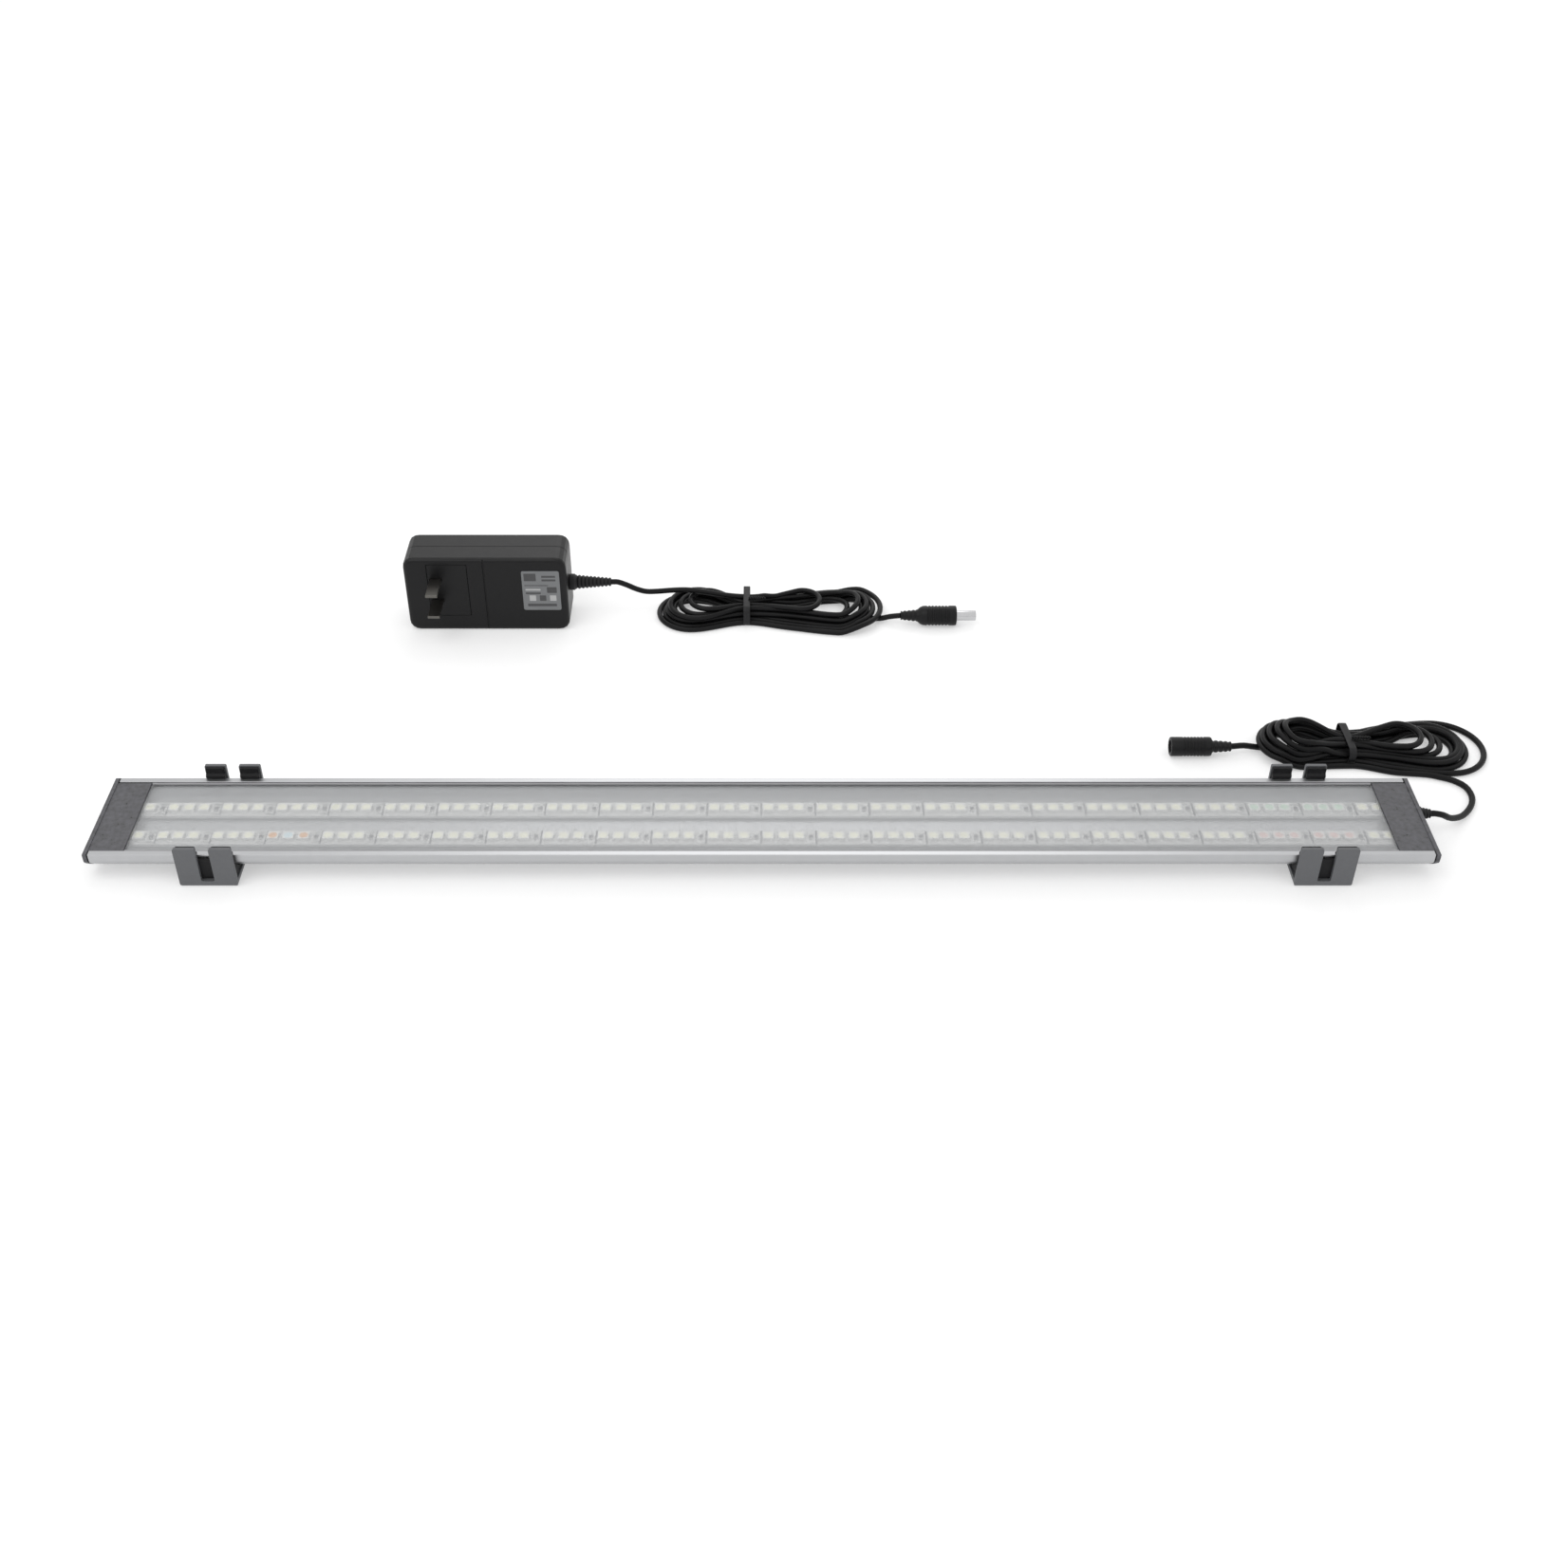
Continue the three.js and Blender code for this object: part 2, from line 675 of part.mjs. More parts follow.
function adapterCase() {
  const cavity = toSolid(adapterBlock(adapterWall, adapterFront + adapterWall, adapterBack - adapterWall, 0));
  const relief = toSolid(turnedX(
    [[adapterRight - 8, 0], [adapterRight - 8, 2.4], [adapterRight + 3, 2.4], [adapterRight + 3, 0]],
    adapterMiddleY, adapterReliefZ, 16,
  ));
  const outside = toSolid(adapterBlock(0, adapterFront, adapterBack, adapterEdge));
  const hollow = outside.subtract(cavity).subtract(relief);
  const far = 200;
  const half = (y0, y1) => toSolid(boxBetween([adapterLeft - 5, y0, -5], [adapterRight + 5, y1, far]));
  const [insertLow, insertHigh] = insertCorners(seatGap);
  const window = toSolid(boxBetween([insertLow[0], adapterFront - 1, insertLow[2]], insertHigh));
  const groove = toSolid(boxBetween(
    [grooveX - grooveWidth / 2, adapterFront - 1, -1],
    [grooveX + grooveWidth / 2, adapterFront + grooveDepth, adapterSize[2] + 1],
  ));
  const front = hollow.intersect(half(adapterFront - 5, adapterMiddleY - partingGap / 2));
  add('adapter_case_front', toGeometry(front.subtract(window).subtract(groove)), 'blackPlastic');
  const back = hollow.intersect(half(adapterMiddleY + partingGap / 2, adapterBack + 5));
  add('adapter_case_back', toGeometry(back), 'blackPlastic');
}

function insertCorners(grow) {
  const [x, y, z] = insertSize;
  return [
    [insertX - x / 2 - grow, adapterFront, featureZ - z / 2 - grow],
    [insertX + x / 2 + grow, adapterFront + y + grow, featureZ + z / 2 + grow],
  ];
}

function adapterPlug() {
  const bladeAt = (offset, grow) => boxBetween(
    [
      bladeX - bladeSize[0] / 2 - grow,
      adapterFront + bladeInside - bladeSize[1],
      featureZ + offset - bladeSize[2] / 2 - grow,
    ],
    [
      bladeX + bladeSize[0] / 2 + grow,
      adapterFront + bladeInside,
      featureZ + offset + bladeSize[2] / 2 + grow,
    ],
  );
  const offsets = { upper: bladeSpacing / 2, lower: -bladeSpacing / 2 };
  let insert = toSolid(boxBetween(...insertCorners(0)));
  Object.entries(offsets).forEach(([name, offset]) => {
    insert = insert.subtract(toSolid(bladeAt(offset, bondGap)));
    add(`adapter_blade_${name}`, bladeAt(offset, 0), 'brass');
  });
  add('adapter_plug_insert', toGeometry(insert), 'blackPlastic');
}

function adapterLabel() {
  const [x, thickness, z] = labelSize;
  const [x0, x1, z0, z1] = [labelX - x / 2, labelX + x / 2, featureZ - z / 2, featureZ + z / 2];
  const outline = roundedOutline([[x0, z0, 1], [x1, z0, 1], [x1, z1, 1], [x0, z1, 1]]);
  add('adapter_label', alongY(outline, adapterFront - bondGap - thickness, thickness), 'label');
}

// The board stands in the case's rails, with its parts on the side of the back shell.
function adapterInside() {
  const clear = adapterWall + cordGap;
  const boardY = adapterMiddleY - 3;
  const boardBack = boardY + adapterPcbThickness;
  const [left, right] = [adapterLeft + clear, adapterRight - clear - 9];
  add('adapter_circuit_board', boxBetween(
    [left, boardY, clear + adapterCorner],
    [right, boardBack, adapterSize[2] - clear - adapterCorner],
  ), 'greenBoard');
  const [x, y, z] = transformerSize;
  const middleX = (left + right) / 2;
  const middleZ = adapterSize[2] / 2;
  add('adapter_transformer', boxBetween(
    [middleX - x / 2, boardBack + bondGap, middleZ - z / 2],
    [middleX + x / 2, boardBack + bondGap + y, middleZ + z / 2],
  ), 'ferrite');
  const places = { input: middleX - x / 2 - 12, output: middleX + x / 2 + 10 };
  Object.entries(places).forEach(([name, placeX], i) => {
    const radius = capacitorRadii[i];
    const base = boardBack + bondGap;
    const can = [[base, 0], [base, radius], [base + capacitorLength, radius], [base + capacitorLength, 0]];
    add(`adapter_capacitor_${name}`, turnedY(can, placeX, middleZ, 16), 'ferrite');
  });
}

function adapterStrainRelief() {
  const shoulder = adapterRight + seatGap;
  const profile = [
    [adapterRight - adapterWall - 2, 0],
    [adapterRight - adapterWall - 2, 2.2],
    [shoulder, 2.2],
    [shoulder, 4.4],
    [shoulder + 3, 4.4],
    [shoulder + adapterReliefLength, 2.2],
    [shoulder + adapterReliefLength, 0],
  ];
  add('adapter_strain_relief', turnedX(profile, adapterMiddleY, adapterReliefZ, 16), 'rubber');
}

function adapterCords() {
  const start = adapterRight + seatGap + adapterReliefLength + cordGap;
  const hank = adapterHank;
  const route = [
    [start, adapterMiddleY, adapterReliefZ],
    [start + 2, adapterMiddleY, adapterReliefZ],
    [start + 7, 192, 20.4],
    [start + 13.5, 193.5, 14],
    [start + 18.5, 195.5, 7.4],
    [hank.left - 2 * cordGap, 197.3, 5],
  ];
  add('adapter_cord', tube(route, cordDiameter), 'cord');
  const tail = [
    [hank.right - cordGap, 186.4, 6],
    [(hank.right + plugHandleBack) / 2, 184.6, 5.5],
    [plugHandleBack - 2 * cordGap, plugY, plugZ],
  ];
  add('adapter_cord_end', tube(tail, cordDiameter), 'cord');
}

// The plug on the adapter's cord: a moulded handle, a metal barrel and its insulator.
function adapterDcPlug() {
  const back = plugHandleBack;
  const front = back + plugHandleLength;
  const handle = [
    [back, 0],
    [back, 2.2],
    [back + 9, 3.2],
    [back + 11, plugHandleRadius - 0.6],
    [back + 12, plugHandleRadius],
    [front - 1, plugHandleRadius],
    [front, plugHandleRadius - 1],
    [front, 0],
  ];
  add('plug_handle', turnedX(handle, plugY, plugZ, 20), 'blackPlastic');
  const [start, tip] = [front + bondGap, front + barrelLength];
  const inner = barrelRadius - barrelWall;
  const barrel = [[start, inner], [start, barrelRadius], [tip, barrelRadius], [tip, inner], [start, inner]];
  add('plug_barrel', turnedX(barrel, plugY, plugZ, 20), 'steel');
  const outer = inner - bondGap;
  const insulator = [
    [start, barrelBoreRadius],
    [start, outer],
    [tip, outer],
    [tip, barrelBoreRadius],
    [start, barrelBoreRadius],
  ];
  add('plug_insulator', turnedX(insulator, plugY, plugZ, 16), 'blackPlastic');
}

housing();
lens();
ledBoard('front', -1);
ledBoard('rear', 1);
boardJumper('positive', 9.6, 'red');
boardJumper('negative', 3.6, 'cord');
leadCore('positive', leadExitY - 0.75, padY - 0.8, 7, 'red');
leadCore('negative', leadExitY + 0.75, padY + 0.75, 1.2, 'cord');
Object.entries({ left: -1, right: 1 }).forEach(([name, side]) => {
  endCap(name, side);
  endGasket(name, side);
  endScrew(`${name}_front`, side, -1);
  endScrew(`${name}_rear`, side, 1);
  clip(name);
  clipLiner(name);
});
leadStrainRelief();
leadCords();
hankAndTie('lead', leadHank);
leadSocket();
adapterCase();
adapterPlug();
adapterLabel();
adapterInside();
adapterStrainRelief();
adapterCords();
hankAndTie('adapter', adapterHank);
adapterDcPlug();

export default group;
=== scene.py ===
# %% [markdown]
# # A slim LED light for an aquarium
# The light is 601 mm of aluminium channel with two rows of LEDs under a clear cover. Two
# saddle clips slide along it and straddle the panes of a tank. A folded lead leaves its
# right end, and a plug-in adapter with its own folded cord lies behind it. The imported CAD
# part comes in first, and nothing of it is moved: every finer piece is built around it, in
# the same place and in metres, with +Z up.

import bpy
import numpy as np
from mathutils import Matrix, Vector


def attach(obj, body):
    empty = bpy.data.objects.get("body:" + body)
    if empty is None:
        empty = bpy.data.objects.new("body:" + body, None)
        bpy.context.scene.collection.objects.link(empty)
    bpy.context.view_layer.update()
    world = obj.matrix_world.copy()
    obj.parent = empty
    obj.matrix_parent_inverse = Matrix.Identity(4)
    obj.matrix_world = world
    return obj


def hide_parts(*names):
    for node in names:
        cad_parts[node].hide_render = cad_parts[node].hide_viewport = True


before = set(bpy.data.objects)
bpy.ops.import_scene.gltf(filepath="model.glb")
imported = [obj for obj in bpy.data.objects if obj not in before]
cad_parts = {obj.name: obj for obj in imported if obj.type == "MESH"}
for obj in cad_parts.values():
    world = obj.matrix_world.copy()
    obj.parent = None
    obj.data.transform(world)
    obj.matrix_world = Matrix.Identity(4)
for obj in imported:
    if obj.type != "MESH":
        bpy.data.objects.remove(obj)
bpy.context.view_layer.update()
MM = 0.001
CORD = 3.0  # mm, diameter of both cords

# %% [markdown]
# ## Camera
# The camera stands in front of the light, above it, and looks down by 38 degrees with no
# roll, so that the long edges stay level. A short tele lens keeps the far edge nearly as
# long as the near one. A small sideways shift takes the place of turning the camera, which
# would make the long edges run together.

# %% Camera
LOOK_DOWN = 38  # degrees below level
camera_data = bpy.data.cameras.new("camera")
camera_data.lens = 42.285  # mm
camera_data.sensor_width = 36  # mm
camera_data.shift_x = 0.0143  # a share of the frame's width
camera = bpy.data.objects.new("camera", camera_data)
camera.location = (0, -0.65507, 0.54558)
camera.rotation_euler = (np.radians(90 - LOOK_DOWN), 0, 0)
bpy.context.scene.collection.objects.link(camera)
bpy.context.scene.camera = camera
bpy.context.scene.view_settings.view_transform = "Standard"
print("camera", camera_data.lens, "mm")

# %% [markdown]
# ## Helpers for surfaces
# Each new piece is a stack of rings: closed lines of points that are joined one to the
# next. A rounded block, a turned handle and a cup with a floor are all such stacks, and so
# one function can close and join them. The alternative, modelling by hand with loop cuts,
# can't be repeated when a size changes.


# %% Rings into solids
def capped(rings):
    """Joins each ring to the next and closes both ends to the middle of their own ring."""
    rings = np.asarray(rings, float)
    count, sides = rings.shape[:2]
    index = np.arange(count * sides).reshape(count, sides)
    after = np.roll(index, -1, axis=1)
    walls = np.stack([index[:-1], after[:-1], after[1:], index[1:]], -1).reshape(-1, 4)
    ends = [
        np.stack([after[0], index[0], np.full(sides, count * sides)], -1),
        np.stack([index[-1], after[-1], np.full(sides, count * sides + 1)], -1),
    ]
    points = np.vstack([rings.reshape(-1, 3), rings[0].mean(0), rings[-1].mean(0)])
    return points, walls.tolist() + ends[0].tolist() + ends[1].tolist()


def looped(rings):
    """Joins each ring to the next and the last one to the first, as in a torus."""
    rings = np.asarray(rings, float)
    count, sides = rings.shape[:2]
    index = np.arange(count * sides).reshape(count, sides)
    after = np.roll(index, -1, axis=1)
    following = np.roll(index, -1, axis=0)
    walls = np.stack([index, after, np.roll(after, -1, axis=0), following], -1)
    return rings.reshape(-1, 3), walls.reshape(-1, 4).tolist()


def volume(solid):
    """Signed volume by the sum of the tetrahedra from the origin to every triangle."""
    points, faces = solid
    points = points - points.mean(0)
    total = 0.0
    for sides in (3, 4):
        polygons = np.array([f for f in faces if len(f) == sides], int).reshape(-1, sides)
        for step in range(1, sides - 1):
            a, b, c = (points[polygons[:, i]] for i in (0, step, step + 1))
            total += np.einsum("ij,ij->i", a, np.cross(b, c)).sum() / 6
    return total


def outward(solid):
    """Turns every face round if the solid is inside out."""
    points, faces = solid
    return (points, [f[::-1] for f in faces]) if volume(solid) < 0 else solid


def piece(name, solids, body="light", replaces=(), sharp=35):
    """One mesh object of several solids in mm, each with the number of its material."""
    points, faces, numbers, start = [], [], [], 0
    for solid, number in solids:
        solid_points, solid_faces = outward(solid)
        points.append(solid_points)
        faces += [[i + start for i in f] for f in solid_faces]
        numbers += [number] * len(solid_faces)
        start += len(solid_points)
    mesh = bpy.data.meshes.new(name)
    mesh.from_pydata(np.vstack(points) * MM, [], faces)
    mesh.polygons.foreach_set("material_index", numbers)
    mesh.shade_smooth()
    mesh.set_sharp_from_angle(angle=np.radians(sharp))
    mesh.update()
    made = bpy.data.objects.new(name, mesh)
    bpy.context.scene.collection.objects.link(made)
    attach(made, body)
    if replaces:
        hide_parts(*replaces)
    return made


print("surfaces ready")


# %% [markdown]
# ## Shapes
# Three makers cover most of the pieces. A rounded rectangle that shrinks evenly, set at
# several heights, is a block with rounded edges. A line of radii turned about an axis is a
# handle, a boot or a screw. A small section carried along a route is a tie.


# %% Shapes from rings
LEAST_CORNER = 0.02  # mm, so that no corner shrinks to a point


def rounded_rectangle(size, corner, inset=0.0, steps=4):
    """Four quarter circles at the corners of a rectangle, all moved in by the inset."""
    half = np.array(size, float) / 2 - inset
    radius = max(corner - inset, LEAST_CORNER)
    turn = np.radians(np.linspace(0, 90, steps + 1))
    arcs = []
    for first, signs in zip(np.radians([0, 90, 180, 270]), [(1, 1), (-1, 1), (-1, -1), (1, -1)]):
        arc = np.stack([np.cos(turn + first), np.sin(turn + first)], 1) * radius
        arcs.append(arc + (half - radius) * np.array(signs))
    return np.vstack(arcs)


def facing(flat, height, axis):
    """Puts a flat outline at a height along an axis: x, y or z."""
    level = np.full(len(flat), height)
    order = {"x": (level, flat[:, 0], flat[:, 1]), "y": (flat[:, 0], level, flat[:, 1])}
    return np.stack(order.get(axis, (flat[:, 0], flat[:, 1], level)), 1)


def block(centre, size, corner, edge, axis="z", steps=4, rounds=3):
    """A rounded rectangle carried up an axis; its edges are quarter circles at both ends."""
    lowest, highest = -size[2] / 2, size[2] / 2
    turn = np.radians(np.linspace(0, 90, rounds + 1))
    inset = edge * (1 - np.sin(turn))
    rise = edge * (1 - np.cos(turn))
    profile = [(i, lowest + r) for i, r in zip(inset, rise)]
    profile += [(i, highest - r) for i, r in zip(inset[::-1], rise[::-1])]
    rings = [facing(rounded_rectangle(size[:2], corner, i, steps), h, axis) for i, h in profile]
    return capped(np.array(rings) + np.array(centre, float))


def turned(profile, centre, axis="x", sides=48, through=False):
    """Turns a line of (distance along the axis, radius) about the axis."""
    turn = np.linspace(0, 2 * np.pi, sides, endpoint=False)
    circle = np.stack([np.cos(turn), np.sin(turn)], 1)
    rings = np.array([facing(circle * r, h, axis) for h, r in profile]) + np.array(centre)
    return looped(rings) if through else capped(rings)


def smooth(t):
    """Goes from 0 to 1 with a level start and end."""
    t = np.clip(t, 0, 1)
    return t * t * (3 - 2 * t)


print("a 10 mm block holds", round(volume(block((0, 0, 0), (10, 10, 10), 1, 1))), "mm3")

# %% [markdown]
# ## The line of a hank
# The lead and the adapter's cord are each folded into a hank: a loop of many turns that a
# tie pinches at its waist. It is a loop in code too. A turn is made of half circles at its
# two ends and of cubic lines through the waist and the wide lobe beside it. Each turn has
# its own place, which says how wide and how high it lies, and it goes over to the next place
# in its first eighth. The places nest in layers that lie on one another. One end of the
# hank is lifted, where the cord's own tail passes under it. A physics run of such a bundle
# would be slow and would not keep the neat factory fold.


# %% The line of a hank
# Shares of a turn at which its six parts start: from the near waist to the left end, the
# left half circle, to the far waist, on to the right end, the right half circle, and back.
TURN_PARTS = [0, 0.112, 0.281, 0.393, 0.587, 0.806, 1.0]
LEFT_BEND, RIGHT_BEND = 1, 4
GO_OVER = 0.125  # share of a turn in which it goes over to its own place
LIFT = 3.15  # mm, how far an end is lifted over the tail
HAIR = 1e-9  # turns, so that rounding doesn't lose the last point
# A place gives distances from the hank's middle line (y), radii of the half circles (r),
# their centres along the hank (x) and heights above the table (z), all in mm.
PLACE = ("waist_y", "waist_z", "lobe_y", "lobe_z", "right_r", "right_x", "right_z")
PLACE += ("left_r", "left_x", "left_z")


def joined(x, x0, x1, y0, y1, slope0, slope1):
    """Cubic from (x0, y0) to (x1, y1) that has the given slopes at its two ends."""
    t, wide = (x - x0) / (x1 - x0), x1 - x0
    start = (2 * t**3 - 3 * t**2 + 1) * y0 + (t**3 - 2 * t**2 + t) * slope0 * wide
    return start + (3 * t**2 - 2 * t**3) * y1 + (t**3 - t**2) * slope1 * wide


def one_turn(hank, place, u):
    """Points at shares u of one turn: half circles at both ends, cubics through the waist."""
    p = dict(zip(PLACE, place))
    waist, lobe, left, right = hank["waist"], hank["lobe"], p["left_x"], p["right_x"]
    u = u % 1
    part = np.clip(np.searchsorted(TURN_PARTS, u, "right") - 1, 0, 5)
    t = (u - np.take(TURN_PARTS, part)) / np.diff(TURN_PARTS)[part]
    ends = [(waist, left), (left, left), (left, waist)]
    ends += [(waist, right), (right, right), (right, waist)]
    ends = np.array(ends)
    x = ends[part, 0] + (ends[part, 1] - ends[part, 0]) * t
    side = np.where((part == 0) | (part == 5), -1, 1)

    def across(at_waist, at_lobe, at_right, at_left):
        """A width or a height along x: one cubic to the left, two by way of the lobe."""
        slope = (at_right - at_waist) / (right - waist)
        leftward = joined(x, waist, left, at_waist, at_left, 0, 0)
        inner = joined(x, waist, lobe, at_waist, at_lobe, 0, slope)
        outer = joined(x, lobe, right, at_lobe, at_right, slope, 0)
        return np.where(x < waist, leftward, np.where(x < lobe, inner, outer))

    y = side * across(p["waist_y"], p["lobe_y"], p["right_r"], p["left_r"])
    z = across(p["waist_z"], p["lobe_z"], p["right_z"], p["left_z"])
    for bend, end, first in ((LEFT_BEND, "left", -0.5), (RIGHT_BEND, "right", 0.5)):
        on, turn = part == bend, np.pi * (first - t)
        x = np.where(on, p[end + "_x"] + p[end + "_r"] * np.cos(turn), x)
        y = np.where(on, p[end + "_r"] * np.sin(turn), y)
        z = np.where(on, p[end + "_z"], z)
    return np.column_stack([x, hank["middle"] + y, z])


def hank_line(hank, per_turn=48):
    """Turn after turn; each goes over to its own place in the first eighth of its way.

    A hump is how far a turn rises in the middle of going over, and the lift raises every
    point by a smooth step of its distance along the hank.
    """
    places, far_waist = hank["places"], TURN_PARTS[3]
    phase = far_waist if hank["begin"] == "far" else 0.0
    turns = len(places) - 1
    since = np.arange(-hank["before"], turns + HAIR, 1 / per_turn)
    turn = np.clip(np.floor(since).astype(int), 0, turns - 1)
    share = smooth((since - turn) / GO_OVER)[:, None]
    lines = np.array([one_turn(hank, place, since + phase) for place in places])
    step = np.arange(len(since))
    line = (1 - share) * lines[turn, step] + share * lines[turn + 1, step]
    line[:, 2] += np.take(hank["humps"], turn) * np.sin(np.pi * share[:, 0]) ** 2
    start, full = hank["lift"]
    line[:, 2] += LIFT * smooth((line[:, 0] - start) / (full - start))
    return line


print("a turn has", len(TURN_PARTS) - 1, "parts and a place has", len(PLACE), "values")

# %% [markdown]
# ## Cords as curves
# Each cord is one open curve with a round bevel, so that its length can be measured. A line that
# only joined the chosen points would have corners, so an easing line with three steps between
# points goes through all of them.


# %% Cords as curves
def eased(route, steps=3):
    """A line through all the points that leaves each along its neighbours' direction."""
    route = np.array(route, float)
    route = np.vstack([2 * route[0] - route[1], route, 2 * route[-1] - route[-2]])
    a, b, c, d = route[:-3], route[1:-2], route[2:-1], route[3:]
    t = np.linspace(0, 1, steps, endpoint=False)[None, :, None]
    a, b, c, d = (p[:, None, :] for p in (a, b, c, d))
    line = 2 * b + (c - a) * t + (2 * a - 5 * b + 4 * c - d) * t**2
    line = (line + (3 * b - a - 3 * c + d) * t**3) / 2
    return np.vstack([line.reshape(-1, 3), route[-2]])


def cord_curve(name, route, body, replaces):
    """One open curve with a round bevel; each point's radius is the cord's own radius."""
    data = bpy.data.curves.new(name, "CURVE")
    data.dimensions = "3D"
    data.bevel_depth = 1.0
    data.bevel_resolution = 3
    data.use_fill_caps = True
    spline = data.splines.new("POLY")
    spline.points.add(len(route) - 1)
    spline.points.foreach_set("co", np.column_stack([route * MM, np.ones(len(route))]).ravel())
    spline.points.foreach_set("radius", np.full(len(route), CORD / 2 * MM))
    spline.use_smooth = True
    made = bpy.data.objects.new(name, data)
    bpy.context.scene.collection.objects.link(made)
    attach(made, body)
    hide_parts(*replaces)
    steps = np.linalg.norm(np.diff(route, axis=0), axis=1)
    print(name, "is", round(steps.sum()), "mm long")
    return made, steps.sum() * MM


print("cords are", CORD, "mm thick")

# %% [markdown]
# ## The lead
# The lead goes straight out of the boot in the right-hand cap, comes down to the table,
# turns back on itself and enters its hank from the near side. Nine turns later its tail
# passes under the lifted left end of the hank and runs out to the socket.

# %% The lead
FLAT, SECOND, THIRD, TOP = 1.57, 4.2, 6.85, 9.5  # mm, heights of the nested layers
lead_hank = dict(middle=70, waist=287, lobe=306, begin="near", before=0.09, lift=(262, 251))
lead_hank["places"] = [
    (14.4, FLAT, 19.5, FLAT, 23.6, 333.9, FLAT, 18.4, 259.8, FLAT),
    (10.45, FLAT, 15.9, FLAT, 20.5, 333.9, FLAT, 15.3, 259.8, FLAT),
    (7.35, FLAT, 12.8, FLAT, 17.4, 328.2, FLAT, 12.2, 259.8, FLAT),
    (4.25, FLAT, 9.7, FLAT, 14.3, 328.0, FLAT, 9.3, 259.9, FLAT),
    (1.6, FLAT, 6.6, FLAT, 11.2, 328.0, FLAT, 10.7, 260.4, SECOND),
    (2.8, SECOND, 3.4, FLAT, 9.6, 323.0, SECOND, 9.4, 265.6, THIRD + 0.3),
    (5.8, SECOND, 8.2, SECOND, 12.75, 328.6, SECOND, 12.2, 261.0, THIRD),
    (8.9, SECOND, 11.3, SECOND, 15.85, 327.2, SECOND, 13.7, 259.8, SECOND),
    (4.3, THIRD, 7.2, 5.6, 10.2, 318.0, THIRD, 10.8, 263.0, TOP),
    (1.5, 7.0, 7.8, 8.6, 9.3, 313.0, TOP, 9.3, 265.0, 12.0),
]
lead_hank["humps"] = [0, 0, 0, 0, 0.8, 0, 0, 2.0, 0]
lead_out = [(309.5, 7.6, 10.5), (311.5, 7.6, 10.5), (315.5, 8, 9.3), (321, 10.5, 5.4)]
lead_out += [(328.5, 16, 2.4), (335, 24, FLAT), (337.8, 31.5, FLAT), (337, 39, FLAT)]
lead_out += [(332.5, 44, FLAT), (327, 46.6, FLAT), (321, 48.6, FLAT)]
lead_tail = [(281, 69.0, 7.3), (275, 69.5, 5.8), (269, 69.9, 3.6), (262.5, 70, 2.0)]
lead_tail += [(255.5, 70, 1.6), (249, 70, 1.6), (242.5, 69.6, 2.6)]
lead_tail += [(236.5, 68.4, 4.3), (231, 67.2, 4.75), (228, 67, 4.75)]
lead_route = eased(np.vstack([lead_out, hank_line(lead_hank), lead_tail]))
lead_nodes = ("lead_cord", "lead_cord_end", "lead_hank")
lead_cord, lead_length = cord_curve("lead_flex", lead_route, "light", lead_nodes)

# %% [markdown]
# ## The adapter's cord
# The adapter's cord leaves its boot 22 mm above the table and sinks to the top of its hank,
# so its turns are laid from the top layer down to the table. After eight turns its tail
# passes under the lifted right end and rises to the plug. The same two functions make it,
# with other places and points.

# %% The adapter's cord
adapter_hank = dict(middle=193.5, waist=-8, lobe=15, begin="far", before=0.0, lift=(42, 54))
adapter_hank["places"] = [
    (2.9, TOP, 7.5, 9.0, 9.3, 22, TOP, 9.3, -29, TOP),
    (1.5, 7.0, 7.5, 9.0, 9.3, 22, TOP, 9.3, -29, TOP),
    (4.4, THIRD, 6.2, THIRD, 11.2, 41, THIRD, 14.4, -35, THIRD),
    (2.9, SECOND, 4.4, SECOND, 9.5, 37, SECOND, 10.8, -33, THIRD),
    (6.0, SECOND, 7.75, SECOND, 12.75, 44, SECOND, 12.9, -38, SECOND),
    (10.5, FLAT, 15.5, FLAT, 20.5, 44, FLAT, 17.5, -38, FLAT),
    (7.4, FLAT, 12.4, FLAT, 17.4, 43, FLAT, 14.4, -38, FLAT),
    (4.3, FLAT, 9.3, FLAT, 14.3, 43, FLAT, 11.3, -38, FLAT),
    (1.6, FLAT, 6.2, FLAT, 11.2, 43, FLAT, 9.4, -38, SECOND),
]
adapter_hank["humps"] = [1.2, 0, 0, 0, 1.0, 0, 0, 0]
adapter_out = [(-83, 191.5, 22), (-80, 191.5, 22), (-77, 191.6, 21.8), (-72.5, 192.2, 19.6)]
adapter_out += [(-67.5, 193.6, 16.2), (-62.5, 195.6, 13.4), (-56.5, 197.2, 12.5)]
adapter_out += [(-48, 198.2, 12.6), (-40, 198.1, 12.8), (-31, 197.5, 11.9), (-21, 196.8, 10.5)]
adapter_out += [(-14, 196.5, 9.8)]
adapter_tail = [(-2, 195.1, 1.6), (6, 194.2, 1.6), (14, 193, 1.6), (27, 190.4, 1.6)]
adapter_tail += [(40, 188.6, 1.6), (56, 187.2, 1.6), (64, 186.4, 2.0)]
adapter_tail += [(69.5, 185.2, 4.0), (75, 184, 5.4)]
adapter_route = eased(np.vstack([adapter_out, hank_line(adapter_hank), adapter_tail]))
adapter_nodes = ("adapter_cord", "adapter_cord_end", "adapter_hank")
adapter_cord, adapter_length = cord_curve("adapter_flex", adapter_route, "light", adapter_nodes)

# %% [markdown]
# ## Floor and lamps
# The floor is a plain pale sheet. The world is an even white that fills the shadows. One
# soft lamp from above the left shoulder gives the satin metal its gradient and the black
# plastic its highlights, and a second one, above and behind, draws the far edges. Levels
# are low enough that a colour comes out about as it is written. The camera, reflections and
# clear pieces see the world as pure white.

